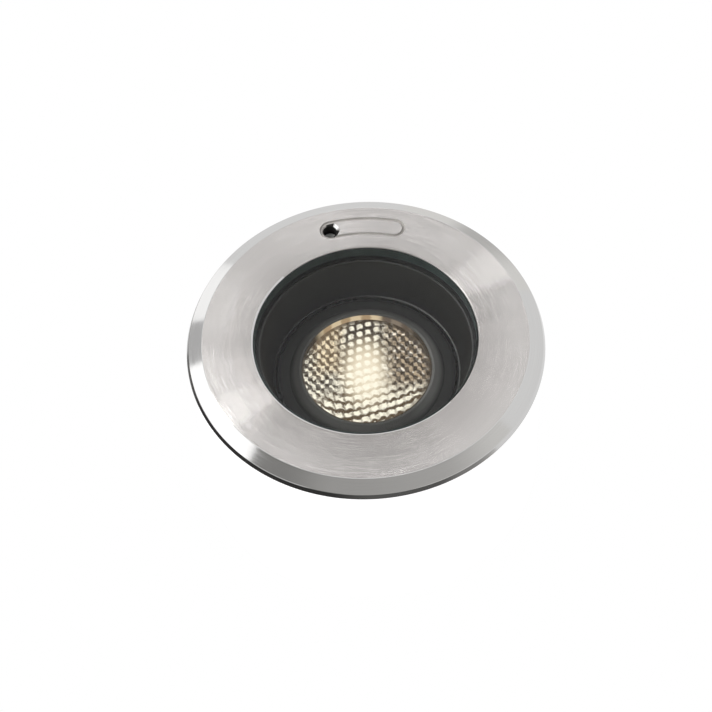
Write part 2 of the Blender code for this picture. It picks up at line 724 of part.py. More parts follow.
def make_bezel(head):
    brim_top = bezel_under + BRIM_THICKNESS
    outline = [
        (brim_radius, bezel_under),
        (brim_radius, brim_top),
        (BEZEL_RADIUS, brim_top),
        (BEZEL_RADIUS, brim_top + BEZEL_EDGE),
        (bezel_lip_radius, bezel_top),
        (window_radius, bezel_top),
        (window_radius, lens_seat),
        (lens_radius + GAP, lens_seat),
        (lens_radius + GAP, bezel_under),
    ]
    piece("bezel", turned(outline, MIDDLE_SIDES), "grey coat", carrier=head)


def lenslet_corners(along, across):
    """The six corners of one cell, in rows that wave and shift from one to the next."""
    side = CELL_PITCH / 2
    low = ROW_SPACING / 2 - ROW_WAVE
    high = ROW_SPACING / 2 + ROW_WAVE
    lean = (ROW_SHIFT_SHARE - 1 / 2) * CELL_PITCH
    corners = [(side, low), (lean, high), (-side, low), (-side, -low), (-lean, -high), (side, -low)]
    return [Vector((along + x, across + y, 0.0)) for x, y in corners]


def lenslet_field(radius):
    """All whole cells inside a radius, as one solid whose top swells in every cell."""
    mesh = bmesh.new()
    rows = math.ceil(radius / ROW_SPACING)
    columns = math.ceil(2 * radius / CELL_PITCH)
    for row in range(-rows, rows + 1):
        for column in range(-columns, columns + 1):
            along = (column + ROW_SHIFT_SHARE * row) * CELL_PITCH
            corners = lenslet_corners(along, row * ROW_SPACING)
            if max(corner.length for corner in corners) < radius:
                mesh.faces.new([mesh.verts.new(corner) for corner in corners])
    bmesh.ops.remove_doubles(mesh, verts=mesh.verts, dist=MERGE_DISTANCE)
    cells = list(mesh.faces)
    grown = bmesh.ops.extrude_face_region(mesh, geom=cells, use_keep_orig=True)["geom"]
    base = [item for item in grown if isinstance(item, bmesh.types.BMVert)]
    bmesh.ops.translate(mesh, verts=base, vec=(0.0, 0.0, -LENSLET_ROOT))
    bmesh.ops.inset_individual(
        mesh, faces=cells, thickness=LENSLET_INSET, depth=0.0,
    )
    shoulder = LENSLET_HEIGHT * LENSLET_SHOULDER_SHARE
    for cell in cells:
        bmesh.ops.translate(mesh, verts=list(cell.verts), vec=(0.0, 0.0, shoulder))
    crowns = bmesh.ops.poke(mesh, faces=cells)["verts"]
    bmesh.ops.translate(mesh, verts=crowns, vec=(0.0, 0.0, LENSLET_HEIGHT - shoulder))
    return closed(mesh)


def make_lens(head):
    plate = cylinder(lens_radius, lens_under, lens_top, MIDDLE_SIDES)
    lens = piece("lens", plate, "lens", carrier=head)
    field = lenslet_field(window_radius - LENS_FIELD_MARGIN)
    worked(lens, "lenslets", field, spot(0.0, ROW_AZIMUTH, lens_top), "UNION")


def make_reflector(head):
    """A parabolic cup, its wall drawn from the mouth down to the throat."""
    shares = [step / REFLECTOR_STEPS for step in range(REFLECTOR_STEPS + 1)]
    spread = reflector_mouth_radius - REFLECTOR_THROAT_RADIUS
    inner = []
    for share in shares:
        height = reflector_under + (reflector_top - reflector_under) * share ** 2
        inner.append((REFLECTOR_THROAT_RADIUS + spread * share, height))
    outer = []
    for radius, height in reversed(inner[:-1]):
        outer.append((radius + REFLECTOR_WALL, height))
    flange_radius = lens_radius
    flange = [
        (flange_radius, reflector_top),
        (flange_radius, reflector_flange_under),
        (reflector_mouth_radius + REFLECTOR_WALL, reflector_flange_under),
    ]
    lower = [point for point in outer if point[1] < reflector_flange_under]
    outline = inner + flange + lower
    piece("reflector", turned(outline, MIDDLE_SIDES), "reflector", carrier=head)


def sink_fins():
    """Plates under the lamp head that follow its round side, all joined to its base."""
    radius = sink_radius - SINK_FIN_MARGIN
    pitch = 2 * radius / (SINK_FIN_COUNT + 1)
    root = sink_under + SINK_BASE_THICKNESS / 2
    plates = []
    for number in range(SINK_FIN_COUNT):
        middle = (number - (SINK_FIN_COUNT - 1) / 2) * pitch
        edge = abs(middle) + SINK_FIN_THICKNESS / 2
        reach = math.sqrt(radius ** 2 - edge ** 2)
        low = (-reach, middle - SINK_FIN_THICKNESS / 2, sink_under - SINK_FIN_HEIGHT)
        high = (reach, middle + SINK_FIN_THICKNESS / 2, root)
        plates.append(block(low, high))
    return gathered(plates)


def lever_span():
    """Inner face, top and underside of the lever's web, from the light's axis and the pivot."""
    inside = sink_radius + LEVER_PAD_HEIGHT + GAP
    top = pivot_height - LEVER_LOW_TOP
    return inside, top, top - LEVER_LOW_HEIGHT


def lever_screw_places():
    inside, top, under = lever_span()
    middle = (top + under) / 2
    seat = inside + WEB_THICKNESS + GAP
    level = turned_to(adjuster_azimuth)
    inward = Matrix.Rotation(-math.pi / 2, 4, "Y")
    sides = [-LEVER_SCREW_SPACING / 2, LEVER_SCREW_SPACING / 2]
    return [level @ moved(seat, side, middle) @ inward for side in sides]


def make_heat_sink(head):
    outline = [
        (0.0, sink_under),
        (sink_radius, sink_under),
        (sink_radius, sink_top),
        (lens_radius + GAP, sink_top),
        (lens_radius + GAP, sink_ledge),
        (sink_cavity_radius, sink_ledge),
        (sink_cavity_radius, sink_floor),
        (0.0, sink_floor),
    ]
    sink = piece("heat_sink", turned(outline, MIDDLE_SIDES), "cast aluminium", carrier=head)
    worked(sink, "fins", sink_fins(), turned_to(PIVOT_AZIMUTH), "UNION")
    wall_middle = (sink_radius + sink_cavity_radius) / 2
    bosses = []
    bores = []
    for turn in azimuths(2, PIVOT_AZIMUTH):
        boss = cylinder(PIVOT_BOSS_RADIUS, 0.0, pivot_boss_reach - wall_middle)
        bosses.append(placed(boss, outward(wall_middle, turn, pivot_height)))
        bore = cylinder(PIVOT_RADIUS + RUNNING_GAP, -PIVOT_BITE - GAP, OVERRUN)
        bores.append(placed(bore, outward(pivot_boss_reach, turn, pivot_height)))
    worked(sink, "pivot_bosses", gathered(bosses), operation="UNION")
    top, under = lever_span()[1:]
    half_width = FORK_GAP / 2 + FORK_PLATE
    pad = block(
        (wall_middle - LEVER_PAD_HEIGHT, -half_width, under),
        (sink_radius + LEVER_PAD_HEIGHT, half_width, top),
    )
    worked(sink, "lever_pad", pad, turned_to(adjuster_azimuth), "UNION")
    worked(sink, "pivot_bores", gathered(bores))
    drilled(sink, "lever_screw_holes", LEVER_SCREW_RADIUS + GAP, lever_screw_places(), -OVERRUN, lever_screw_reach() + GAP)


def lever_screw_reach():
    return WEB_THICKNESS + 2 * GAP + LEVER_SCREW_BITE


def make_light_source(head):
    board = cylinder(BOARD_RADIUS, board_under, board_top)
    piece("led_board", board, "white board", carrier=head)
    emitter = cylinder(EMITTER_RADIUS, board_top + GAP, board_top + GAP + EMITTER_THICKNESS)
    piece("led_emitter", emitter, "yellow phosphor", carrier=head)
    holder = ring_outline(HOLDER_BORE_RADIUS, HOLDER_RADIUS, holder_under, holder_top)
    piece("led_holder", turned(holder, SMALL_SIDES), "white plastic", carrier=head)


def make_tilt_lever(head):
    """Two cranked plates on one web, each with an open slot that holds a pin of the traveller."""
    inside, low_top, low_under = lever_span()
    end = adjuster_circle + TINE_OVERHANG
    slot_half = NUT_PIN_RADIUS + SLOT_CLEARANCE
    tine_top = slot_height + slot_half + TINE_THICKNESS
    tine_under = slot_height - slot_half - TINE_THICKNESS
    rise_end = lever_rise_start + LEVER_RISE_RUN
    outline = [
        (inside, low_under),
        (lever_rise_start, low_under),
        (rise_end, tine_under),
        (end, tine_under),
        (end, tine_top),
        (rise_end, tine_top),
        (lever_rise_start, low_top),
        (inside, low_top),
    ]
    width = FORK_GAP + 2 * FORK_PLATE
    place = turned_to(adjuster_azimuth)
    lever = piece("tilt_lever", side_extruded(outline, width), "bright steel", place, head)
    fork = block(
        (inside + WEB_THICKNESS, -FORK_GAP / 2, low_under - OVERRUN),
        (end + OVERRUN, FORK_GAP / 2, tine_top + OVERRUN),
    )
    worked(lever, "fork", fork, place)
    slot = block(
        (adjuster_circle - NUT_PIN_RADIUS - SLOT_INNER_MARGIN, -width, slot_height - slot_half),
        (end + OVERRUN, width, slot_height + slot_half),
    )
    worked(lever, "slots", slot, place)
    places = lever_screw_places()
    drilled(lever, "screw_holes", LEVER_SCREW_RADIUS + GAP, places, -OVERRUN, WEB_THICKNESS + OVERRUN)
    for number, screw_place in enumerate(places, 1):
        solid = screw_solid(
            LEVER_SCREW_RADIUS, LEVER_SCREW_HEAD_RADIUS, LEVER_SCREW_HEAD_HEIGHT, lever_screw_reach(),
        )
        piece(f"lever_screw_{number}", solid, "bright steel", screw_place, head)


# Adjuster

def make_bush():
    """A collared bush let into the flange from below, counterbored for the screw's head."""
    counterbore_under = adjuster_head_under - GAP
    groove_top = counterbore_under - GAP
    groove_under = groove_top - 2 * (O_RING_WIRE_RADIUS + RUNNING_GAP)
    groove_radius = O_RING_RADIUS - O_RING_WIRE_RADIUS - RUNNING_GAP
    head_bore = ADJUSTER_HEAD_RADIUS + GAP
    shank_bore = ADJUSTER_RADIUS + RUNNING_GAP
    outline = [
        (shank_bore, bush_under),
        (BUSH_COLLAR_RADIUS, bush_under),
        (BUSH_COLLAR_RADIUS, bush_collar_top),
        (BUSH_RADIUS, bush_collar_top),
        (BUSH_RADIUS, groove_under),
        (groove_radius, groove_under),
        (groove_radius, groove_top),
        (BUSH_RADIUS, groove_top),
        (BUSH_RADIUS, 0.0),
        (head_bore, 0.0),
        (head_bore, counterbore_under),
        (shank_bore, counterbore_under),
    ]
    place = spot(adjuster_circle, adjuster_azimuth)
    piece("adjuster_bush", turned(outline, SMALL_SIDES), "black plastic", place)
    wire = []
    for step in range(WIRE_SIDES):
        angle = 2 * math.pi * step / WIRE_SIDES
        radius = O_RING_RADIUS + O_RING_WIRE_RADIUS * math.cos(angle)
        wire.append((radius, (groove_top + groove_under) / 2 + O_RING_WIRE_RADIUS * math.sin(angle)))
    piece("adjuster_o_ring", turned(wire, SMALL_SIDES), "black rubber", place)


def make_adjusting_screw():
    groove_top = clip_top + RUNNING_GAP
    groove_under = clip_top - CLIP_THICKNESS - RUNNING_GAP
    groove_radius = ADJUSTER_RADIUS - CLIP_GROOVE
    end = foot_bore_under
    outline = [
        (0.0, end),
        (ADJUSTER_RADIUS, end),
        (ADJUSTER_RADIUS, groove_under),
        (groove_radius, groove_under),
        (groove_radius, groove_top),
        (ADJUSTER_RADIUS, groove_top),
        (ADJUSTER_RADIUS, adjuster_head_under),
        (ADJUSTER_HEAD_RADIUS, adjuster_head_under),
        (ADJUSTER_HEAD_RADIUS, adjuster_head_top),
        (0.0, adjuster_head_top),
    ]
    place = spot(adjuster_circle, adjuster_azimuth)
    screw = piece("adjusting_screw", turned(outline, SMALL_SIDES), "bright steel", place)
    socket = cylinder(SOCKET_RADIUS, adjuster_head_top - SOCKET_DEPTH, adjuster_head_top + OVERRUN, 6)
    worked(screw, "socket", socket, place)
    band = ring_outline(groove_radius + RUNNING_GAP, CLIP_RADIUS, clip_top - CLIP_THICKNESS, clip_top)
    clip = piece("adjuster_clip", turned(band, SMALL_SIDES), "spring steel", place, screw)
    mouth = block(
        (0.0, -CLIP_MOUTH / 2, clip_top - CLIP_THICKNESS - OVERRUN),
        (CLIP_RADIUS + OVERRUN, CLIP_MOUTH / 2, clip_top + OVERRUN),
    )
    worked(clip, "mouth", mouth, place)


def make_traveller():
    """The nut that rides on the screw, with a pin on each side for the lever's slots."""
    place = spot(adjuster_circle, adjuster_azimuth, slot_height)
    body = block(
        (-NUT_RADIAL / 2, -NUT_TANGENTIAL / 2, -NUT_HEIGHT / 2),
        (NUT_RADIAL / 2, NUT_TANGENTIAL / 2, NUT_HEIGHT / 2),
    )
    nut = piece("traveller_nut", body, "brass", place)
    across = place @ Matrix.Rotation(math.pi / 2, 4, "X")
    pins = cylinder(NUT_PIN_RADIUS, -NUT_PIN_REACH, NUT_PIN_REACH)
    worked(nut, "pins", pins, across, "UNION")
    drilled(
        nut, "bore", ADJUSTER_RADIUS + RUNNING_GAP, [place],
        -NUT_HEIGHT / 2 - OVERRUN, NUT_HEIGHT / 2 + OVERRUN, SMALL_SIDES,
    )


# Rear cover, supply and gland

def make_rear_cover():
    seal = ring_outline(barrel_inside + COVER_SEAL_MARGIN, barrel_radius - COVER_SEAL_MARGIN, seal_under, seal_top)
    piece("rear_cover_seal", turned(seal, WIDE_SIDES), "black rubber")
    rib_under = cover_under - COVER_RIB_HEIGHT
    rib_inside = cover_rib_radius - COVER_RIB_WIDTH
    outline = [
        (0.0, cover_under),
        (rib_inside, cover_under),
        (rib_inside, rib_under),
        (cover_rib_radius, rib_under),
        (cover_rib_radius, cover_under),
        (barrel_radius, cover_under),
        (barrel_radius, cover_top),
        (0.0, cover_top),
    ]
    cover = piece("rear_cover", turned(outline, WIDE_SIDES), "cast aluminium")
    seat = cover_under - GAP
    reach = housing_under + COVER_SCREW_BITE - seat
    places = [spot(cover_screw_circle, turn, seat) for turn in azimuths(COVER_SCREW_COUNT, screw_azimuth)]
    drilled(cover, "screw_holes", COVER_SCREW_RADIUS + GAP, places, -OVERRUN, COVER_THICKNESS + OVERRUN)
    drilled(
        cover, "gland_hole", GLAND_THREAD_RADIUS + GAP, [moved(y=-gland_offset)],
        cover_under - OVERRUN, cover_top + OVERRUN, SMALL_SIDES,
    )
    drilled(cover, "tray_screw_holes", TRAY_SCREW_RADIUS + GAP, tray_screw_places(), -OVERRUN, tray_screw_reach() + GAP)
    for number, place in enumerate(places, 1):
        solid = screw_solid(COVER_SCREW_RADIUS, COVER_SCREW_HEAD_RADIUS, COVER_SCREW_HEAD_HEIGHT, reach)
        piece(f"cover_screw_{number}", solid, "bright steel", place)


def tray_screw_reach():
    return TRAY_THICKNESS + 2 * GAP + TRAY_SCREW_BITE


def tray_screw_places():
    seat = cover_top + TRAY_THICKNESS + 2 * GAP
    inset = tray_length / 2 - TRAY_SCREW_INSET
    down = Matrix.Rotation(math.pi, 4, "X")
    return [moved(side, DRIVER_OFFSET, seat) @ down for side in (-inset, inset)]


def make_supply():
    driver_near = DRIVER_OFFSET - DRIVER_WIDTH / 2
    block_far = driver_near - BLOCK_SPACING
    plate = block(
        (-tray_length / 2, block_far - BLOCK_WIDTH - TRAY_MARGIN, tray_under),
        (tray_length / 2, DRIVER_OFFSET + DRIVER_WIDTH / 2 + TRAY_MARGIN, tray_top),
    )
    tray = piece("driver_tray", plate, "bright steel")
    drilled(tray, "screw_holes", TRAY_SCREW_RADIUS + GAP, tray_screw_places(), -OVERRUN, TRAY_THICKNESS + OVERRUN)
    case = block(
        (-DRIVER_LENGTH / 2, -DRIVER_WIDTH / 2, 0.0),
        (DRIVER_LENGTH / 2, DRIVER_WIDTH / 2, DRIVER_HEIGHT),
    )
    driver = piece("led_driver", case, "black plastic", moved(y=DRIVER_OFFSET, z=driver_under))
    corner = driver.modifiers.new("corners", "BEVEL")
    corner.width = DRIVER_CORNER
    corner.segments = 2
    body = block((-BLOCK_LENGTH / 2, -BLOCK_WIDTH / 2, 0.0), (BLOCK_LENGTH / 2, BLOCK_WIDTH / 2, BLOCK_HEIGHT))
    middle = block_far - BLOCK_WIDTH / 2
    terminals = piece("terminal_block", body, "white plastic", moved(y=middle, z=driver_under))
    pitch = BLOCK_LENGTH / BLOCK_WAYS
    toward = Matrix.Rotation(math.pi / 2, 4, "X")
    ports = []
    for way in range(BLOCK_WAYS):
        x = (way - (BLOCK_WAYS - 1) / 2) * pitch
        ports.append(moved(x, middle - BLOCK_WIDTH / 2, driver_under + BLOCK_HEIGHT / 2) @ toward)
    drilled(terminals, "ports", BLOCK_PORT_RADIUS, ports, -BLOCK_PORT_DEPTH, OVERRUN)
    for number, place in enumerate(tray_screw_places(), 1):
        solid = screw_solid(TRAY_SCREW_RADIUS, TRAY_SCREW_HEAD_RADIUS, TRAY_SCREW_HEAD_HEIGHT, tray_screw_reach())
        piece(f"tray_screw_{number}", solid, "bright steel", place)


def make_gland():
    """A cable gland: body through the cover, locknut inside, seal and domed nut outside."""
    place = moved(y=-gland_offset)
    hex_top = cover_under - GAP
    hex_under = hex_top - GLAND_HEX_HEIGHT
    tail_under = hex_under - GLAND_TAIL
    locknut_under = cover_top + GAP
    locknut_top = locknut_under + GLAND_LOCKNUT_HEIGHT
    thread_top = locknut_top + GLAND_THREAD_END
    shank = ring_outline(GLAND_BORE_RADIUS, GLAND_THREAD_RADIUS, tail_under, thread_top)
    body = piece("gland_body", turned(shank, SMALL_SIDES), "black plastic", place)
    collar = cylinder(GLAND_HEX_RADIUS, hex_under, hex_top, 6)
    worked(body, "hexagon", collar, place, "UNION")
    drilled(body, "bore", GLAND_BORE_RADIUS, [place], tail_under - OVERRUN, thread_top + OVERRUN, SMALL_SIDES)
    hexagon = cylinder(GLAND_HEX_RADIUS, locknut_under, locknut_top, 6)
    locknut = piece("gland_locknut", hexagon, "black plastic", place)
    drilled(
        locknut, "bore", GLAND_THREAD_RADIUS + GAP, [place],
        locknut_under - OVERRUN, locknut_top + OVERRUN, SMALL_SIDES,
    )
    nut_inside = GLAND_THREAD_RADIUS + GAP
    nut_top = hex_under - GAP
    seal_high = tail_under - GAP
    seal_low = seal_high - GLAND_SEAL_THICKNESS
    mouth_top = seal_low - GAP
    mouth_under = mouth_top - GLAND_NUT_MOUTH_THICKNESS
    outline = [
        (nut_inside, nut_top),
        (GLAND_NUT_RADIUS, nut_top),
        (GLAND_NUT_RADIUS, mouth_under + GLAND_NUT_DOME),
        (GLAND_NUT_RADIUS - GLAND_NUT_DOME, mouth_under),
        (GLAND_NUT_MOUTH_RADIUS, mouth_under),
        (GLAND_NUT_MOUTH_RADIUS, mouth_top),
        (nut_inside, mouth_top),
    ]
    piece("gland_nut", turned(outline, SMALL_SIDES), "black plastic", place)
    seal = ring_outline(GLAND_SEAL_BORE_RADIUS, GLAND_THREAD_RADIUS, seal_low, seal_high)
    piece("gland_seal", turned(seal, SMALL_SIDES), "grey rubber", place)


# Leaf springs

def rivet_places():
    height = -SPRING_DEPTH - RIVET_DROP
    return [outward(barrel_radius, turn, height) for turn in azimuths(SPRING_COUNT, SPRING_AZIMUTH)]


def make_springs():
    """Leaf springs that lean out from the barrel, each riveted at its lower end."""
    inner = [
        (GAP, -SPRING_PAD),
        (GAP, 0.0),
        (SPRING_CREST_OUT, SPRING_CREST_RISE),
        (SPRING_TIP_OUT, SPRING_TIP_RISE),
    ]
    outline = inner + [(x + SPRING_THICKNESS, z) for x, z in reversed(inner)]
    seat = GAP + SPRING_THICKNESS + GAP
    turns = azimuths(SPRING_COUNT, SPRING_AZIMUTH)
    for number, (turn, rivet_place) in enumerate(zip(turns, rivet_places()), 1):
        leaf = side_extruded(outline, SPRING_WIDTH)
        spring = piece(f"clamp_spring_{number}", leaf, "spring steel", spot(barrel_radius, turn, -SPRING_DEPTH))
        drilled(spring, "rivet_hole", RIVET_RADIUS + GAP, [rivet_place], -OVERRUN, seat + OVERRUN)
        rivet = screw_solid(RIVET_RADIUS, RIVET_HEAD_RADIUS, RIVET_HEAD_HEIGHT, seat + RIVET_BITE)
        inward = rivet_place @ moved(z=seat) @ Matrix.Rotation(math.pi, 4, "X")
        piece(f"spring_rivet_{number}", rivet, "bright steel", inward)


def make_part():
    for old in list(bpy.data.objects):
        bpy.data.objects.remove(old, do_unlink=True)
    make_trim_ring()
    make_glass()
    make_baffle()
    make_housing()
    make_trim_screws()
    make_brackets()
    head = joint_axis("tilt_axis", spot(0.0, PIVOT_AZIMUTH, pivot_height))
    make_bezel(head)
    make_lens(head)
    make_reflector(head)
    make_heat_sink(head)
    make_light_source(head)
    make_tilt_lever(head)
    make_bush()
    make_adjusting_screw()
    make_traveller()
    make_rear_cover()
    make_supply()
    make_gland()
    make_springs()


make_part()
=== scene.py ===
"""A recessed spotlight set in a pale board, seen from above its lit face."""

import math

import bpy
from mathutils import Matrix, Vector


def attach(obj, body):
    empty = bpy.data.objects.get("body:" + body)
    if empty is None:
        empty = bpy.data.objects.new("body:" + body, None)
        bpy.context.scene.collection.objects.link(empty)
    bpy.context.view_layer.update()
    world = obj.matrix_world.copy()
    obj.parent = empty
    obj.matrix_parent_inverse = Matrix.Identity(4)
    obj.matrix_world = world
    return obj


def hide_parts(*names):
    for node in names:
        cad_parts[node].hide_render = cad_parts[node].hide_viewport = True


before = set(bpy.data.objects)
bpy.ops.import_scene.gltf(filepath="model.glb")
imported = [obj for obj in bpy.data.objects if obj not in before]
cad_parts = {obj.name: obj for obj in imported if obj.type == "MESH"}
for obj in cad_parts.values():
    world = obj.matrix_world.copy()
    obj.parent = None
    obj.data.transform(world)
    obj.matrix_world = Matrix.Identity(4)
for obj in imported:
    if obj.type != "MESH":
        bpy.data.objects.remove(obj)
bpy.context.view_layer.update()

MM = 0.001
BODY = "light"
HEAD = "lamp_head"

# Sides of round pieces
FINE_SIDES = 240
ROUND_SIDES = 128
SMALL_SIDES = 32
TURNED_ANGLE = math.radians(8)    # corners of turned pieces stay crisp
MOULDED_ANGLE = math.radians(50)
JOIN_DISTANCE = 0.002 * MM

# Outlines, each a run of (radius, height) in millimetres
TRIM_RING = [
    (56.3, 4.4), (56.3, 5.6), (56.42, 6.05), (56.75, 6.36), (57.3, 6.5), (82.05, 6.5), (82.3, 6.44),
    (88.9, 2.60), (89.1, 2.40), (90.0, 0.0), (83.0, 0.0), (83.0, 0.5), (60.6, 0.5), (60.6, 4.4),
]
GLASS = [(56.0, 6.2), (56.0, 0.2)]
GLASS_FLANGE = [(56.05, 3.2), (59.8, 3.2), (59.8, 0.2), (56.05, 0.2)]
GLASS_RIM = 56.1
LOWER_GASKET = [(54.0, -0.1), (59.8, -0.1), (59.8, -0.9), (54.0, -0.9)]
BAFFLE = [
    (53.3, -1.2), (60.3, -1.2), (60.3, -4.0), (54.9, -4.0),
    (48.5, -24.7), (46.9, -24.7), (46.9, -23.9), (47.7, -23.6),
]
BEZEL = [
    (33.3, -20.7), (34.5, -20.7), (39.5, -24.0), (39.5, -24.2), (45.5, -24.2), (45.5, -25.0),
    (35.2, -25.0), (35.2, -23.5), (33.3, -23.5),
]
LENS_PLATE = [(34.9, -23.8), (34.9, -26.1)]
LENS_SKIRT = [(33.2, -23.9), (33.2, -20.9), (32.7, -20.8), (32.5, -23.9)]
BARREL = [
    (79.0, 0.2), (79.0, -92.0), (76.0, -92.0), (76.0, -6.3),
    (57.5, -6.3), (57.5, -4.3), (60.6, -4.3), (60.6, 0.2),
]
REAR_COVER = [(79.0, -93.6), (79.0, -97.6), (64.0, -97.6), (64.0, -99.1), (61.0, -99.1), (61.0, -97.6)]
COVER_SEAL = [(76.4, -92.3), (78.6, -92.3), (78.6, -93.3), (76.4, -93.3)]
GLAND_NUT = [
    (8.1, -103.2), (10.1, -103.2), (10.1, -114.1), (9.5, -115.6), (8.3, -116.7), (7.3, -117.1),
    (4.8, -117.1), (4.8, -114.7), (8.1, -114.7),
]
GLAND_SHANK = [(4.2, -110.9), (7.8, -110.9), (7.8, -88.8), (4.2, -88.8)]
RIVET_HEAD = [(1.8, 0.05), (1.7, 0.45), (1.3, 0.80), (0.7, 0.98)]
ADJUSTING_SCREW = [(2.5, -64.7), (2.5, -3.4), (3.4, -3.4), (3.4, -0.6), (3.2, -0.4)]
CLIP_GROOVE = [(1.9, -8.2), (3.0, -8.2), (3.0, -9.2), (1.9, -9.2)]
SCREW_HEAD = [(2.8, -97.9), (2.8, -99.1), (2.6, -99.5), (2.2, -99.7)]

# Barrel: fins, springs and what is let into it
FIN_COUNT = 30
FIN_ROOT, FIN_TIP, FIN_TOP, FIN_UNDER = 78.2, 82.0, -8.0, -84.0
FIN_THICKNESS = 2.0
SPRING_AZIMUTHS = [math.radians(36 + 120 * number) for number in range(3)]
SPRING_ROOM = math.radians(5.5)
SPRING_WIDTH = 12.0
SPRING_THICKNESS = 0.9
SPRING_LINE = [(79.3, -66.0), (79.3, -60.0), (85.2, -22.0), (82.8, -14.0)]
LEAF_MIDDLE = 79.7
RIVET_HEIGHT = -62.6
RIVET_SEAT = 80.5
SCREW_AZIMUTHS = [math.radians(58 + 90 * number) for number in range(4)]
SCREW_CIRCLE = 72.5
TRIM_SCREW_CIRCLE = 68.0
GLAND_OFFSET = 46.0
GRIP_RIBS = 12

# Bars and bores, each a radius and two heights, and blocks, each two corners
BOSS = (4.5, -92.0, -76.0)
FOOT = ((65.2, -5.0, -67.8), (77.5, 5.0, -59.8))
FOOT_BORE = (2.6, -65.1, -58.0)
TRIM_SCREW_BORE = (2.0, -8.0, 2.0)
ADJUSTER_BORE = (5.0, -8.0, 2.0)
BARREL_RIVET_BORE = (1.4, -2.0, 2.0)
LEAF_RIVET_BORE = (1.4, -3.0, 3.0)
RIVET_SHANK = (1.1, -3.2, 0.1)
COVER_GLAND_BORE = (8.1, -100.0, -92.0)
COVER_SCREW_BORE = (1.8, -100.0, -92.0)
COVER_SCREW_SHANK = (1.5, -98.0, -82.3)
COVER_SCREW_SOCKET = (1.5, -100.5, -98.7)
ADJUSTER_SOCKET = (1.8, -2.4, 1.0)
GLAND_COLLAR = (11.5, -102.9, -97.9)
COLLAR_BORE = (7.0, -105.0, -95.0)
GRIP_RIB = ((9.6, -0.7, -113.6), (10.5, 0.7, -103.5))

# Access hole and the engraved outline round it
RING_TOP = 6.5
HOLE_RADIUS = 3.6
RING_BORE = (HOLE_RADIUS, -6.0, 14.0)
COUNTERSINK_RADIUS = 4.9
HOLE_CIRCLE = 70.2
HOLE_AZIMUTH = math.radians(103)
ENGRAVED_CIRCLE = 70.2
ENGRAVED_AZIMUTH = math.radians(89.1)
ENGRAVED_HALF_WIDTH = 4.85
ENGRAVED_SPREAD = math.radians(13.5)
ENGRAVED_WIRE = 0.90
ENGRAVED_STEPS = 28

# Lenslets, in rows that each start a little further on
CELL_PITCH = 4.56
ROW_SPACING = 4.60
ROW_AZIMUTH = math.radians(15.3)
ROW_SHIFT_SHARE = 0.34
LENSLET_RADIUS = 2.15
LENSLET_STEPS = [(0.30, 1.0), (0.32, 0.88), (0.20, 0.70), (0.08, 0.45)]
LENSLET_SIDES = 12
FIELD_RADIUS = 32.6

# Finishes that are only a colour, roughness, metal, how far they drift, grain and bump
SIMPLE_FINISHES = {
    "bright_steel": ((0.55, 0.55, 0.55), 0.25, 1.0, 0.08, 1.0, 0.01),
    # The brass is darkened far below its own colour: painted shade, so that the brass parts deep inside stay
    # dark.
    "brass": ((0.07, 0.052, 0.030), 0.4, 1.0, 0.25, 0.8, 0.01),
    "reflector": ((0.85, 0.84, 0.80), 0.12, 1.0, 0.04, 0.5, 0.01),
    "black_rubber": ((0.012, 0.012, 0.012), 0.7, 0.0, 0.3, 2.0, 0.05),
    "grey_rubber": ((0.16, 0.22, 0.22), 0.75, 0.0, 0.15, 2.0, 0.05),
    "white_board": ((0.80, 0.80, 0.76), 0.45, 0.0, 0.05, 1.0, 0.01),
    "yellow_phosphor": ((0.90, 0.70, 0.16), 0.4, 0.0, 0.05, 1.0, 0.01),
    "black_plastic": ((0.022, 0.022, 0.024), 0.45, 0.0, 0.2, 1.5, 0.03),
    "white_plastic": ((0.78, 0.78, 0.75), 0.4, 0.0, 0.05, 1.5, 0.02),
}

# Painted highlights and painted shade in fans on the ring's face: how much lighter (darker where negative),
# at which azimuth, full within and gone beyond, in degrees
PAINTED_FANS = [
    (-0.22, -104, 14, 47), (-0.12, 72, 8, 28), (-0.12, 15, 3, 13),
    (0.14, -150, 2, 9), (0.08, -42, 8, 24), (0.16, 31, 2, 11),
]

# The ring's finishes, in the order of its slots, and where its faces change from one to the next
FACE_STEEL, EDGE_STEEL, ETCHED_STEEL, DARK_STEEL = range(4)
TILTED = (10, 80)
LIT_SHARE = 0.45
OPENING_EDGE, BEVEL_TOP = 57.4, 82.0
GROOVE_RADII, GROOVE_HEIGHTS = (60.0, 80.0), (5.5, 6.45)

# Studio
FACING = {"up": (0.0, 0.0, 0.0), "aside": (0.0, math.pi / 2, 0.0), "forward": (math.pi / 2, 0.0, 0.0)}
WARM_WHITE = (1.01, 1.0, 0.975)
SOFT_LIGHT = 0.5
BOARD_OUTER, BOARD_INNER, BOARD_FRONT, BOARD_THICKNESS = 88.0, 80.4, 62.0, 1.6


# Placing

def spot(circle, azimuth, height=0.0):
    return Vector((circle * math.cos(azimuth), circle * math.sin(azimuth), height)) * MM


# Sums in a node tree

class Value:
    """A number in a finish's node tree."""

    def __init__(self, finish, socket):
        self.finish = finish
        self.socket = socket

    def sum(self, operation, *others):
        return self.finish.maths(operation, self, *others)

    def __add__(self, other):
        return self.sum("ADD", other)

    def __radd__(self, other):
        return self.sum("ADD", other)

    def __sub__(self, other):
        return self.sum("SUBTRACT", other)

    def __rsub__(self, other):
        return self.finish.maths("SUBTRACT", other, self)

    def __mul__(self, other):
        return self.sum("MULTIPLY", other)

    def __rmul__(self, other):
        return self.sum("MULTIPLY", other)

    def __truediv__(self, other):
        return self.sum("DIVIDE", other)

    def __pow__(self, other):
        return self.sum("POWER", other)

    def size(self):
        return self.sum("ABSOLUTE")

    def sine(self):
        return self.sum("SINE")

    def whole(self):
        return self.sum("ROUND")

    def greatest(self, other):
        return self.sum("MAXIMUM", other)

    def least(self, other):
        return self.sum("MINIMUM", other)


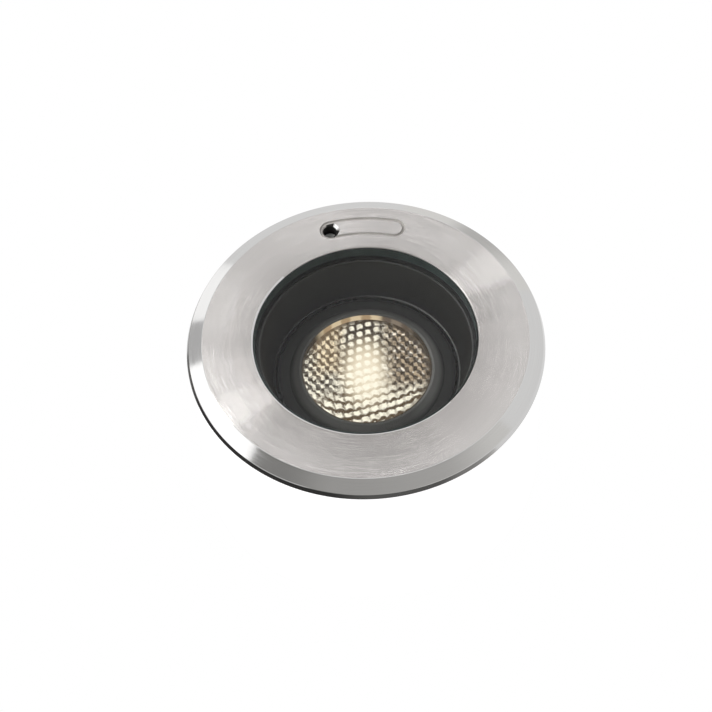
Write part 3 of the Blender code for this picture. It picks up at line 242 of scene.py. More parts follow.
class Finish:
    """A procedural material round one Principled shader."""

    def __init__(self, name, colour, roughness, metallic=0.0, **settings):
        self.material = bpy.data.materials.new(name)
        self.material.use_nodes = True
        self.tree = self.material.node_tree
        self.shader = self.tree.nodes["Principled BSDF"]
        self.output = self.tree.nodes["Material Output"]
        self.set(base_color=(*colour, 1.0), roughness=roughness, metallic=metallic, **settings)
        self.material.diffuse_color = (*colour, 1.0)

    def plug(self, socket, value):
        if isinstance(value, Value):
            value = value.socket
        if isinstance(value, bpy.types.NodeSocket):
            self.tree.links.new(value, socket)
        else:
            socket.default_value = value

    def set(self, **values):
        for key, value in values.items():
            words = key.replace("ior", "IOR").split("_")
            name = " ".join(word if word.isupper() else word.capitalize() for word in words)
            self.plug(self.shader.inputs[name], value)

    def node(self, kind, settings=None, inputs=None, out=0):
        made = self.tree.nodes.new("ShaderNode" + kind)
        for key, value in (settings or {}).items():
            setattr(made, key, value)
        for key, value in (inputs or {}).items():
            self.plug(made.inputs[key], value)
        return made.outputs[out]

    def maths(self, operation, *values):
        inputs = dict(enumerate(values))
        return Value(self, self.node("Math", {"operation": operation}, inputs))

    def place(self):
        """Object coordinates in millimetres."""
        return self.scaled(self.node("TexCoord", out="Object"), 1 / MM)

    def scaled(self, vector, scale):
        return self.node("VectorMath", {"operation": "SCALE"}, {0: vector, "Scale": scale})

    def axes(self):
        made = self.tree.nodes.new("ShaderNodeSeparateXYZ")
        self.plug(made.inputs[0], self.place())
        return [Value(self, made.outputs[name]) for name in "XYZ"]

    def round_axis(self):
        """The three axes, and the distance from the light's own axis."""
        x, y, z = self.axes()
        return x, y, z, (x * x + y * y) ** 0.5

    def joined(self, x, y, z):
        return self.node("CombineXYZ", inputs={0: x, 1: y, 2: z})

    def noise(self, scale, detail=3.0, vector=None, roughness=0.55):
        vector = vector or self.place()
        inputs = {"Vector": vector, "Scale": scale, "Detail": detail, "Roughness": roughness}
        return Value(self, self.node("TexNoise", inputs=inputs, out="Fac"))

    def step(self, value, low, high, start=0.0, end=1.0):
        inputs = {"Value": value, "From Min": low, "From Max": high, "To Min": start, "To Max": end}
        return Value(self, self.node("MapRange", {"interpolation_type": "SMOOTHSTEP"}, inputs))

    def mixed(self, share, first, second):
        made = self.tree.nodes.new("ShaderNodeMix")
        made.data_type = "RGBA"
        self.plug(made.inputs["Factor"], share)
        for socket, value in ((made.inputs[6], first), (made.inputs[7], second)):
            self.plug(socket, (*value, 1.0) if isinstance(value, tuple) else value)
        return made.outputs[2]

    def bump(self, height, distance, strength=1.0):
        inputs = {"Height": height, "Distance": distance * MM, "Strength": strength}
        self.set(normal=self.node("Bump", inputs=inputs))


def varied(name, colour, roughness, metallic, shade, grain, distance, **settings):
    """A finish whose colour and roughness drift, over a fine grain."""
    finish = Finish(name, colour, roughness, metallic, **settings)
    cloud = finish.noise(0.09, 4.0)
    darker = tuple(part * (1 - shade) for part in colour)
    lighter = tuple(min(part * (1 + shade), 1.0) for part in colour)
    finish.set(base_color=finish.mixed(finish.step(cloud, 0.3, 0.7), darker, lighter))
    worn = finish.noise(0.35, 5.0)
    finish.set(roughness=finish.step(worn, 0.25, 0.75, roughness * 0.85, roughness * 1.15))
    finish.bump(finish.noise(grain, 4.0), distance)
    return finish


# Finishes

def turned_grain(finish, pitch):
    """Fine rings round the axis, broken up a little along their way."""
    x, y, z, radius = finish.round_axis()
    round_way = finish.maths("ARCTAN2", y, x)
    return finish.noise(1.0, 2.0, finish.joined(radius / pitch, round_way * 1.5, z / pitch))


def toward(finish, azimuth, inner, outer):
    """1 within an angle of an azimuth, and 0 beyond a wider one, in degrees."""
    azimuth, inner, outer = (math.radians(angle) for angle in (azimuth, inner, outer))
    x, y, z, radius = finish.round_axis()
    facing = (x * math.cos(azimuth) + y * math.sin(azimuth)) / radius
    return finish.step(facing, math.cos(outer), math.cos(inner))


def turned_steel():
    """The ring's face: turning marks, with painted shade towards the opening and the front, and fans of
    painted highlight and painted shade.
    """
    finish = Finish("turned_steel", (0.56, 0.55, 0.54), 0.17, 1.0)
    fine = turned_grain(finish, 0.07)
    tone = finish.step(fine * 0.8 + turned_grain(finish, 3.0) * 0.2, 0.1, 0.9)
    # Painted highlights and painted shade: fans of lighter and darker tone round the ring.
    shade = 1.0
    for strength, azimuth, full, gone in PAINTED_FANS:
        shade = toward(finish, azimuth, full, gone) * strength + shade
    x, y, z, radius = finish.round_axis()
    # Painted shade: the face is darker towards the opening and the front.
    outer = finish.step(radius + y * 0.10, 50.0, 80.0)
    near = finish.mixed(tone, (0.365, 0.348, 0.338), (0.41, 0.391, 0.379))
    far = finish.mixed(tone, (0.49, 0.472, 0.46), (0.545, 0.525, 0.51))
    finish.set(base_color=finish.scaled(finish.mixed(outer, near, far), shade))
    finish.set(roughness=finish.step(fine, 0.3, 0.7, 0.16, 0.22))
    finish.bump(fine, 0.060)
    return finish.material


def engraved_steel():
    """The engraved line, etched to a matt grey."""
    return varied(
        "turned_steel_etched", (0.44, 0.42, 0.40), 0.8, 0.0, 0.08, 1.2, 0.004, specular_ior_level=0.1,
    ).material


def hole_steel():
    """The wall of the access hole: painted shade, nearly black."""
    return varied(
        "turned_steel_dark", (0.022, 0.021, 0.020), 0.6, 0.0, 0.2, 1.2, 0.004, specular_ior_level=0.2,
    ).material


def polished_steel():
    """The ring's bevel and rim, turned finer than its face. The rim has painted shade low down on the left.
    """
    finish = Finish("turned_steel_edge", (0.58, 0.575, 0.57), 0.10, 1.0)
    fine = turned_grain(finish, 0.5)
    x, y, z = finish.axes()
    # Painted shade on the lower part of the rim, on the left.
    shade = 1 - 0.6 * finish.step(z, 2.55, 2.35) * toward(finish, 172, 12, 30)
    colour = finish.mixed(fine, (0.55, 0.545, 0.54), (0.61, 0.605, 0.60))
    finish.set(base_color=finish.scaled(colour, shade))
    finish.set(roughness=finish.step(fine, 0.3, 0.7, 0.08, 0.13))
    finish.bump(fine, 0.002)
    return finish.material


def clear_glass():
    finish = Finish("clear_glass", (1.0, 1.0, 1.0), 0.01, 1.0)
    smear = finish.step(finish.noise(0.05, 3.0), 0.3, 0.7, 0.97, 1.03)
    gloss = Value(finish, finish.node("Fresnel", inputs={"IOR": 1.22}))
    finish.set(alpha=gloss * smear, roughness=finish.step(finish.noise(0.2), 0.3, 0.7, 0.01, 0.03))
    return finish.material


def glass_edge():
    """The ground side of the glass, which looks dark teal."""
    return varied("clear_glass_edge", (0.062, 0.084, 0.080), 0.35, 0.0, 0.15, 0.5, 0.003).material


def lens_pattern(finish, x, y, radius, side):
    """The lit lenslets: squares on the far side, which run together in wavy rows on the near side."""
    loose = finish.noise(0.16, 3.0)
    fine_loose = finish.noise(0.55, 2.0)
    turn_x, turn_y = math.cos(ROW_AZIMUTH), math.sin(ROW_AZIMUTH)
    along = x * turn_x + y * turn_y + (loose - 0.5) * 5.0 * side + (fine_loose - 0.5) * 1.6
    across = (y * turn_x - x * turn_y) / ROW_SPACING + side * x.size() * y * 0.0012
    wave = (along * (2 * math.pi / CELL_PITCH)).sine()
    far = finish.step(y, -6.0, 8.0)
    beyond = (x + 4.0).least(0.0)
    across = across - beyond * beyond * (1 - far) * 0.004
    strayed = (loose - 0.5) * (0.3 + side * 0.7) + (fine_loose - 0.5) * 0.34
    row = across + wave * (1 - far) * 0.08 + strayed
    row_offset = row - row.whole()
    column = along / CELL_PITCH - row.whole() * ROW_SHIFT_SHARE
    column_offset = column - column.whole()
    square = (row_offset.size() ** 3.0 + column_offset.size() ** 3.0) ** (1 / 3)
    cell = finish.step(square, 0.22, 0.42, 1.0, 0.0)
    narrowed = row_offset.size() + finish.step(radius, 14.0, 30.0) * 0.06 + (fine_loose - 0.5) * 0.25
    band = finish.step(narrowed, 0.25, 0.43, 1.0, 0.0)
    near_left = finish.step(x, 4.0, -12.0)
    from_column = column_offset.size() + (fine_loose - 0.5) * 0.3
    joint = finish.step(from_column, 0.28, 0.5, 1.0, 0.62 - near_left * 0.5)
    return band * joint * (1 - far) + cell * far


def lens_mesh(finish, x, y):
    """The slanting mesh of small lights that the lenslets break up into towards the left and the right."""
    sway = (finish.noise(0.22, 2.0) - 0.5) * 3.0
    turns = 2 * math.pi / 4.3
    rising = ((x + y * 0.75 + sway) * turns).sine()
    falling = ((x - y * 0.85 - sway) * turns).sine()
    ragged = (finish.noise(0.7, 2.0) - 0.5) * 4.0
    return finish.step(rising * 1.15 + falling * 0.8 + ragged, -0.25, 0.75)


def lens_zones(finish, x, y, drift):
    """The tan zone on the left, the whole meshed zone there, and the dim one on the right."""
    tan = finish.step(x + drift, -7.0, -17.0) * finish.step(x + drift, -30.0, -23.0)
    tan = tan * finish.step(y + drift, -6.0, 6.0)
    left = finish.step(x + drift * 0.6, -10.0, -20.0) * finish.step(y + drift * 0.6, -19.0, -10.0)
    right = finish.step(x + drift, 3.0, 17.0) * finish.step(y + drift, -17.0, -4.0)
    return tan, left, right


def lens_light(finish, x, y, radius, drift, centre, zones):
    """How lit each point of the lens is."""
    tan, left, right = zones
    side = finish.step(x.size() + y * 0.3, 8.0, 24.0)
    meshed = left.greatest(tan * 0.7).greatest(right) * 0.85
    lit = lens_pattern(finish, x, y, radius, side) * (1 - meshed) + lens_mesh(finish, x, y) * meshed
    contrast = finish.step(centre, 3.0, 16.0, 0.38, 1.0)
    flecks = finish.step(finish.noise(0.5, 3.0), 0.34, 0.56, 0.35, 1.0)
    lit = (1 - (1 - lit) * contrast) * (1 - (1 - flecks) * contrast * (0.4 + side * 0.5))
    right_rim = finish.step(radius + drift * 0.3, 28.5, 32.5) * finish.step(x, 4.0, 20.0)
    right_rim = right_rim * finish.step(y, 24.0, 10.0)
    under_arc = finish.step(radius + drift * 0.25, 29.6, 31.2) * finish.step(y, 10.0, 18.0)
    return lit * (1 - right_rim * 0.8) * (1 - under_arc * 0.85)


def lens_tones(finish, y, centre, zones):
    """The colours of what is dark and of what is bright in the lens."""
    tan, left, right = zones
    rows_dark = finish.mixed(finish.step(y, -8.0, -16.0), (0.020, 0.012, 0.006), (0.075, 0.048, 0.024))
    dark = finish.mixed(finish.step(centre, 4.0, 16.0), (0.50, 0.36, 0.19), rows_dark)
    dark = finish.mixed(tan, dark, (0.11, 0.072, 0.036))
    dark = finish.mixed(right, dark, (0.026, 0.017, 0.010))
    spots = finish.step(finish.noise(0.33, 1.0), 0.54, 0.66)
    bright = finish.mixed(tan, (1.0, 0.95, 0.78), (0.92, 0.78, 0.54))
    bright = finish.mixed(right, bright, finish.mixed(spots, (0.46, 0.36, 0.24), (0.98, 0.90, 0.76)))
    return dark, bright


def lens_arc(finish, x, y):
    """The skirt round the lenslets, whose far side catches the light in tan blocks."""
    round_way = finish.maths("ARCTAN2", y, x)
    blocks = finish.step((round_way * 19.0 + finish.noise(0.55, 2.0)).sine(), -0.5, 0.3)
    lit_arc = finish.mixed(blocks, (0.36, 0.25, 0.14), (0.62, 0.50, 0.32))
    dim_arc = finish.mixed(blocks, (0.10, 0.075, 0.055), (0.20, 0.16, 0.12))
    arc = finish.mixed(finish.step(x, 6.0, 11.0), lit_arc, dim_arc)
    return finish.mixed(finish.step(y, 19.0, 27.0), (0.022, 0.016, 0.010), arc)


def lens_glow():
    """Lit lenslets, meshed and dimmer towards the left and the right, and washed out in the middle."""
    finish = Finish("lens", (0.035, 0.028, 0.018), 0.20, 0.0, specular_ior_level=0.25)
    x, y, z, radius = finish.round_axis()
    drift = (finish.noise(0.12, 3.0) - 0.5) * 10.0
    centre = ((x + 0.5) * (x + 0.5) * 0.9 + (y + 0.5) * (y + 0.5) * 0.36) ** 0.5
    zones = lens_zones(finish, x, y, drift)
    lit = lens_light(finish, x, y, radius, drift, centre, zones)
    lenslets = finish.mixed(lit, *lens_tones(finish, y, centre, zones))
    glow = finish.mixed(finish.step(radius, 32.35, 32.5), lenslets, lens_arc(finish, x, y))
    finish.set(emission_color=glow, emission_strength=1.0)
    finish.set(roughness=finish.step(finish.noise(0.4), 0.3, 0.7, 0.15, 0.25))
    finish.bump(finish.noise(0.6), 0.01)
    return finish.material


def black_coat():
    """Black baffle paint with painted highlights along the mouth and the foot, growing to the right along the
    foot; both are also glossier.
    """
    black = (0.014, 0.014, 0.013)
    finish = varied("black_coat", black, 0.55, 0.0, 0.1, 0.5, 0.003, specular_ior_level=0.25)
    x, y, z, radius = finish.round_axis()
    mouth = finish.step(z, -1.75, -1.45) * finish.step(radius, 54.6, 54.0)
    foot = finish.step(z, -23.3, -23.7) * finish.step(x, -10.0, 30.0, 0.0, 1.6)
    # Painted highlights: the mouth and the foot are lighter, the foot more so to the right.
    painted_edge_highlight = mouth.greatest(foot)
    finish.set(base_color=finish.mixed(painted_edge_highlight, black, (0.075, 0.078, 0.075)))
    finish.set(roughness=finish.step(painted_edge_highlight, 0.0, 1.0, 0.55, 0.32))
    return finish.material


def grey_coat():
    """Grey paint on the bezel, with a dark brim. Stray light lifts it next to the lens, more on the right."""
    finish = varied("grey_coat", (0.06, 0.06, 0.056), 0.42, 0.0, 0.1, 0.5, 0.003, specular_ior_level=0.12)
    x, y, z, radius = finish.round_axis()
    right = finish.step(x, 18.0, 34.0)
    lip = finish.mixed(right, (0.085, 0.085, 0.078), (0.190, 0.190, 0.180))
    edge = finish.step(radius, 43.0, 45.2)
    brim = finish.mixed(edge, (0.018, 0.018, 0.017), (0.004, 0.004, 0.004))
    finish.set(base_color=finish.mixed(finish.step(radius, 36.0, 40.0), lip, brim))
    return finish.material


def cast_aluminium():
    """Blasted die casting: an even grey with a fine grain, and faint flow marks down the barrel."""
    finish = Finish("cast_aluminium", (0.50, 0.50, 0.505), 0.46, 1.0)
    x, y, z = finish.axes()
    flow = finish.noise(1.0, 3.0, finish.joined(x * 0.22, y * 0.22, z * 0.02))
    grain = finish.noise(2.2, 3.0)
    tone = finish.step(flow * 0.45 + grain * 0.55, 0.30, 0.70)
    finish.set(base_color=finish.mixed(tone, (0.455, 0.455, 0.462), (0.535, 0.535, 0.54)))
    finish.set(roughness=finish.step(grain, 0.3, 0.7, 0.40, 0.52))
    finish.bump(grain, 0.05)
    return finish.material


def spring_steel():
    """Rolled strip, its grain along the leaf."""
    finish = Finish("spring_steel", (0.45, 0.45, 0.46), 0.30, 1.0)
    x, y, z = finish.axes()
    rolled = finish.noise(1.0, 2.0, finish.joined(x * 5.0, y * 5.0, z * 0.10))
    tone = finish.step(rolled, 0.3, 0.7)
    finish.set(base_color=finish.mixed(tone, (0.44, 0.44, 0.45), (0.49, 0.49, 0.495)))
    finish.set(roughness=finish.step(rolled, 0.3, 0.7, 0.27, 0.33))
    finish.bump(rolled, 0.003)
    return finish.material


# Painted shade: steel darkened almost to black, for what hangs the lamp head deep inside the light.
def blackened_steel():
    return varied("bright_steel_blackened", (0.030, 0.030, 0.032), 0.4, 0.6, 0.2, 1.0, 0.01).material


def made_finishes():
    """Every slot's material, by the slot's name."""
    finishes = {name: varied(name, *look).material for name, look in SIMPLE_FINISHES.items()}
    finishes["turned_steel"] = turned_steel()
    finishes["spring_steel"] = spring_steel()
    finishes["blackened_steel"] = blackened_steel()
    finishes["cast_aluminium"] = cast_aluminium()
    finishes["black_coat"] = black_coat()
    finishes["grey_coat"] = grey_coat()
    finishes["clear_glass"] = clear_glass()
    finishes["lens"] = lens_glow()
    return finishes


# Modelling

def alone(thing):
    bpy.ops.object.select_all(action="DESELECT")
    thing.select_set(True)
    bpy.context.view_layer.objects.active = thing


def start_clear():
    bpy.ops.object.select_all(action="DESELECT")


def grown_to(radius, height, from_radius, from_height):
    """Extrudes the selected ring to another radius and height."""
    rise = (0.0, 0.0, (height - from_height) * MM)
    bpy.ops.mesh.extrude_region_move(TRANSFORM_OT_translate={"value": rise})
    ratio = radius / from_radius
    bpy.ops.transform.resize(value=(ratio, ratio, 1.0), center_override=(0.0, 0.0, 0.0))


def faces_outward():
    """Turns the faces of the piece being edited outward, and ends the editing."""
    bpy.ops.mesh.select_all(action="SELECT")
    bpy.ops.mesh.normals_make_consistent(inside=False)
    bpy.ops.object.mode_set(mode="OBJECT")


def turned(name, outline, sides=FINE_SIDES, ring=True):
    """A body of revolution: one circle grown along its outline. A ring closes on itself, a disc is capped."""
    start_clear()
    radius, height = outline[0]
    fill = "NOTHING" if ring else "NGON"
    bpy.ops.mesh.primitive_circle_add(
        vertices=sides, radius=radius * MM, fill_type=fill, location=(0.0, 0.0, height * MM),
    )
    thing = placed(bpy.context.object)
    thing.name = name
    bpy.ops.object.mode_set(mode="EDIT")
    bpy.ops.mesh.select_mode(type="EDGE")
    bpy.ops.mesh.select_all(action="SELECT")
    if not ring:
        bpy.ops.mesh.delete(type="ONLY_FACE")
        bpy.ops.mesh.select_all(action="SELECT")
    stops = outline[1:] + outline[:1] if ring else outline[1:]
    for next_radius, next_height in stops:
        grown_to(next_radius, next_height, radius, height)
        radius, height = next_radius, next_height
    if not ring:
        bpy.ops.mesh.edge_face_add()
    bpy.ops.mesh.select_all(action="SELECT")
    bpy.ops.mesh.remove_doubles(threshold=JOIN_DISTANCE)
    if not ring:
        bpy.ops.mesh.select_all(action="DESELECT")
        bpy.ops.mesh.select_non_manifold()
        bpy.ops.mesh.edge_face_add()
    faces_outward()
    return thing


def eased(thing, width, segments=2):
    """Rounds a piece's sharp edges."""
    alone(thing)
    bevel = thing.modifiers.new("eased", "BEVEL")
    bevel.width = width * MM
    bevel.segments = segments
    bevel.limit_method = "ANGLE"
    bevel.angle_limit = math.radians(20)
    bpy.ops.object.modifier_apply(modifier=bevel.name)


def smoothed(thing, angle=TURNED_ANGLE):
    alone(thing)
    bpy.ops.object.shade_smooth_by_angle(angle=angle)


def placed(thing):
    """Lets a piece's place, turn and size into its mesh."""
    alone(thing)
    bpy.ops.object.transform_apply(location=True, rotation=True, scale=True)
    return thing


def copied(thing):
    copy = thing.copy()
    copy.data = thing.data.copy()
    bpy.context.scene.collection.objects.link(copy)
    return copy


def repeated(thing, turns):
    """Copies of a piece, each turned round the light's axis. The first model goes."""
    copies = []
    for turn in turns:
        copy = copied(thing)
        copy.rotation_euler.z = turn
        copies.append(placed(copy))
    bpy.data.objects.remove(thing)
    return copies


def in_one(thing, others):
    start_clear()
    for other in others:
        other.select_set(True)
    thing.select_set(True)
    bpy.context.view_layer.objects.active = thing
    bpy.ops.object.join()


def pick(thing, kind, wanted):
    """Opens a piece for editing with the faces or corners selected that pass a test."""
    alone(thing)
    bpy.ops.object.mode_set(mode="EDIT")
    bpy.ops.mesh.select_mode(type=kind)
    bpy.ops.mesh.select_all(action="DESELECT")
    bpy.ops.object.mode_set(mode="OBJECT")
    for item in thing.data.polygons if kind == "FACE" else thing.data.vertices:
        item.select = wanted(item)
    bpy.ops.object.mode_set(mode="EDIT")


def box(name, low, high):
    """A block between two corners, in millimetres."""
    start_clear()
    low, high = Vector(low) * MM, Vector(high) * MM
    bpy.ops.mesh.primitive_cube_add(size=1.0, location=(low + high) / 2)
    thing = bpy.context.object
    thing.name = name
    thing.scale = high - low
    return placed(thing)


def drill(radius, low, high, place=(0.0, 0.0, 0.0), sides=SMALL_SIDES, outward=None):
    """A round bar between two heights, upright over a place, or lying outward at an azimuth."""
    start_clear()
    middle = Vector(place) + Vector((0.0, 0.0, (low + high) / 2 * MM))
    turn = (0.0, 0.0, 0.0)
    if outward is not None:
        middle = Vector(place)
        turn = (0.0, math.pi / 2, outward)
    bpy.ops.mesh.primitive_cylinder_add(
        vertices=sides, radius=radius * MM, depth=(high - low) * MM, location=middle, rotation=turn,
    )
    return placed(bpy.context.object)


def cut(thing, cutter):
    alone(thing)
    boolean = thing.modifiers.new("cut", "BOOLEAN")
    boolean.operation = "DIFFERENCE"
    boolean.solver = "EXACT"
    boolean.object = cutter
    bpy.ops.object.modifier_apply(modifier=boolean.name)
    bpy.data.objects.remove(cutter)


def finished(thing, body, slot, finishes, *nodes, angle=TURNED_ANGLE):
    """Gives a piece its finish, and puts it in the place of its CAD nodes."""
    thing.data.materials.clear()
    thing.data.materials.append(finishes[slot])
    smoothed(thing, angle)
    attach(thing, body)
    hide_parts(*nodes)
    return thing


def engraved_points():
    """The curved outline's corners: its outer arc, an end, its inner arc and the other end."""
    for sign in (1, -1):
        circle = ENGRAVED_CIRCLE + sign * ENGRAVED_HALF_WIDTH
        for number in range(ENGRAVED_STEPS + 1):
            share = 2 * number / ENGRAVED_STEPS - 1
            last = spot(circle, ENGRAVED_AZIMUTH + sign * share * ENGRAVED_SPREAD, RING_TOP)
            yield last
        end = spot(ENGRAVED_CIRCLE, ENGRAVED_AZIMUTH + sign * ENGRAVED_SPREAD, RING_TOP)
        for number in range(1, ENGRAVED_STEPS // 2):
            turn = Matrix.Rotation(math.pi * number / (ENGRAVED_STEPS // 2), 3, "Z")
            yield end + turn @ (last - end)


def engraved_cutter():
    """A round wire along the curved outline that is engraved round the access hole."""
    start_clear()
    points = list(engraved_points())
    curve = bpy.data.curves.new("engraving", "CURVE")
    curve.dimensions = "3D"
    curve.bevel_depth = ENGRAVED_WIRE * MM
    curve.bevel_resolution = 1
    line = curve.splines.new("POLY")
    line.points.add(len(points) - 1)
    for point, place in zip(line.points, points):
        point.co = (*place, 1.0)
    line.use_cyclic_u = True
    wire = bpy.data.objects.new("engraving", curve)
    bpy.context.scene.collection.objects.link(wire)
    alone(wire)
    bpy.ops.object.convert(target="MESH")
    return bpy.context.object


def countersink_cutter():
    """A cone that meets the ring's face at the countersink's edge, and stands 1 mm out of it."""
    start_clear()
    depth = COUNTERSINK_RADIUS - HOLE_RADIUS
    bpy.ops.mesh.primitive_cone_add(
        vertices=64, radius1=HOLE_RADIUS * MM, radius2=(COUNTERSINK_RADIUS + 1) * MM, depth=(depth + 1) * MM,
        location=spot(HOLE_CIRCLE, HOLE_AZIMUTH, RING_TOP - depth + (depth + 1) / 2),
    )
    return placed(bpy.context.object)


def in_degrees(normal):
    return math.degrees(math.asin(max(-1.0, min(1.0, normal.z))))


def ring_slot(face):
    """Which of the ring's finishes a face has."""
    slope = in_degrees(face.normal)
    tilted = TILTED[0] < slope < TILTED[1]
    radius, height = face.center.xy.length / MM, face.center.z / MM
    from_hole = (face.center.xy - spot(HOLE_CIRCLE, HOLE_AZIMUTH).xy) / MM
    # The hole's wall is split by side: a painted highlight on the right in the edge steel, matt grey on the
    # left, painted shade in the dark steel between and down the bore.
    if from_hole.length < COUNTERSINK_RADIUS + 0.2 and slope < TILTED[1]:
        aside = from_hole.x / from_hole.length if tilted else 0.0
        return EDGE_STEEL if aside > LIT_SHARE else ETCHED_STEEL if aside < -LIT_SHARE else DARK_STEEL
    # Painted highlight: only the lower left of the opening's edge takes the brighter edge steel.
    inner_edge = radius < OPENING_EDGE and face.center.x + face.center.y < 0.0
    if tilted and (radius > BEVEL_TOP or inner_edge):
        return EDGE_STEEL
    if GROOVE_RADII[0] < radius < GROOVE_RADII[1] and GROOVE_HEIGHTS[0] < height < GROOVE_HEIGHTS[1]:
        return ETCHED_STEEL
    return FACE_STEEL


def make_trim_ring(finishes):
    ring = turned("trim_ring_fine", TRIM_RING)
    cut(ring, drill(*RING_BORE, spot(HOLE_CIRCLE, HOLE_AZIMUTH), sides=64))
    cut(ring, countersink_cutter())
    cut(ring, engraved_cutter())
    finished(ring, BODY, "turned_steel", finishes, "trim_ring")
    for finish in (polished_steel(), engraved_steel(), hole_steel()):
        ring.data.materials.append(finish)
    for face in ring.data.polygons:
        face.material_index = ring_slot(face)


def make_glass(finishes):
    glass = turned("cover_glass_fine", GLASS, ring=False)
    eased(glass, 0.15)
    flange = turned("glass_flange", GLASS_FLANGE)
    in_one(glass, [flange])
    finished(glass, BODY, "clear_glass", finishes, "cover_glass")
    glass.data.materials.append(glass_edge())
    for face in glass.data.polygons:
        level = abs(in_degrees(face.normal)) > TILTED[1]
        rim = face.center.xy.length > GLASS_RIM * MM
        if rim or not level:
            face.material_index = 1


def barrel_fin():
    """One cooling fin, with sloped ends and a thinner outer edge."""
    half = FIN_THICKNESS / 2
    fin = box("fin", (FIN_ROOT, -half, FIN_UNDER), (FIN_TIP, half, FIN_TOP))
    pick(fin, "FACE", lambda face: face.normal.x > 0.9)
    middle = ((FIN_ROOT + FIN_TIP) / 2 * MM, 0.0, (FIN_TOP + FIN_UNDER) / 2 * MM)
    bpy.ops.transform.resize(value=(1.0, 0.72, 0.90), center_override=middle)
    bpy.ops.object.mode_set(mode="OBJECT")
    eased(fin, 0.35, 3)
    return fin


def fin_turns():
    for number in range(FIN_COUNT):
        turn = 2 * math.pi * number / FIN_COUNT
        gaps = [abs(math.remainder(turn - azimuth, 2 * math.pi)) for azimuth in SPRING_AZIMUTHS]
        if min(gaps) > SPRING_ROOM:
            yield turn


def make_housing(finishes):
    """The barrel and its flange, with fins outside and screw bosses and the adjuster's foot inside."""
    housing = turned("housing_fine", BARREL)
    eased(housing, 0.35)
    boss = drill(*BOSS, (SCREW_CIRCLE * MM, 0.0, 0.0))
    foot = box("foot", *FOOT)
    eased(foot, 0.4)
    fins = repeated(barrel_fin(), fin_turns())
    bosses = repeated(boss, SCREW_AZIMUTHS)
    feet = repeated(foot, [HOLE_AZIMUTH])
    cut(feet[0], drill(*FOOT_BORE, spot(HOLE_CIRCLE, HOLE_AZIMUTH)))
    for turn in SCREW_AZIMUTHS:
        cut(housing, drill(*TRIM_SCREW_BORE, spot(TRIM_SCREW_CIRCLE, turn)))
    cut(housing, drill(*ADJUSTER_BORE, spot(HOLE_CIRCLE, HOLE_AZIMUTH)))
    for azimuth in SPRING_AZIMUTHS:
        place = spot(BARREL[0][0], azimuth, RIVET_HEIGHT)
        cut(housing, drill(*BARREL_RIVET_BORE, place, outward=azimuth))
    in_one(housing, fins + bosses + feet)
    finished(housing, BODY, "cast_aluminium", finishes, "housing")


def make_rear_cover(finishes):
    cover = turned("rear_cover_fine", REAR_COVER, ring=False)
    eased(cover, 0.3)
    cut(cover, drill(*COVER_GLAND_BORE, (0.0, -GLAND_OFFSET * MM, 0.0)))
    for turn in SCREW_AZIMUTHS:
        cut(cover, drill(*COVER_SCREW_BORE, spot(SCREW_CIRCLE, turn)))
    finished(cover, BODY, "cast_aluminium", finishes, "rear_cover")
    seal = turned("rear_cover_seal_fine", COVER_SEAL)
    finished(seal, BODY, "black_rubber", finishes, "rear_cover_seal")


def make_cover_screws(finishes):
    """Socket screws: a rounded head under the cover and a shank up into its boss."""
    head = turned("cover_screw", SCREW_HEAD, SMALL_SIDES, ring=False)
    cut(head, drill(*COVER_SCREW_SOCKET, sides=6))
    shank = drill(*COVER_SCREW_SHANK)
    in_one(head, [shank])
    head.location.x = SCREW_CIRCLE * MM
    placed(head)
    for number, screw in enumerate(repeated(head, SCREW_AZIMUTHS), 1):
        screw.name = f"cover_screw_fine_{number}"
        finished(screw, BODY, "bright_steel", finishes, f"cover_screw_{number}", angle=MOULDED_ANGLE)


def make_adjusting_screw():
    """The screw that tilts the lamp head, zinc plated, with a hexagon socket and a groove for its clip."""
    screw = turned("adjusting_screw_fine", ADJUSTING_SCREW, SMALL_SIDES, ring=False)
    cut(screw, drill(*ADJUSTER_SOCKET, sides=6))
    cut(screw, turned("groove", CLIP_GROOVE, SMALL_SIDES))
    screw.location = spot(HOLE_CIRCLE, HOLE_AZIMUTH)
    placed(screw)
    zinc = varied("bright_steel_zinc", (0.80, 0.80, 0.78), 0.5, 0.2, 0.06, 1.0, 0.01).material
    finishes = {"bright_steel": zinc}
    finished(screw, "adjuster", "bright_steel", finishes, "adjusting_screw", angle=MOULDED_ANGLE)


def make_gland(finishes):
    """The gland's hexagon and shank, and its domed nut with grip ribs."""
    shank = turned("gland_body_fine", GLAND_SHANK, SMALL_SIDES)
    collar = drill(*GLAND_COLLAR, sides=6)
    cut(collar, drill(*COLLAR_BORE))
    eased(collar, 0.5)
    in_one(shank, [collar])
    nut = turned("gland_nut_fine", GLAND_NUT, 64)
    rib = box("rib", *GRIP_RIB)
    eased(rib, 0.3)
    in_one(nut, repeated(rib, [2 * math.pi * number / GRIP_RIBS for number in range(GRIP_RIBS)]))
    for thing, node in ((shank, "gland_body"), (nut, "gland_nut")):
        thing.location.y = -GLAND_OFFSET * MM
        placed(thing)
        finished(thing, BODY, "black_plastic", finishes, node, angle=MOULDED_ANGLE)


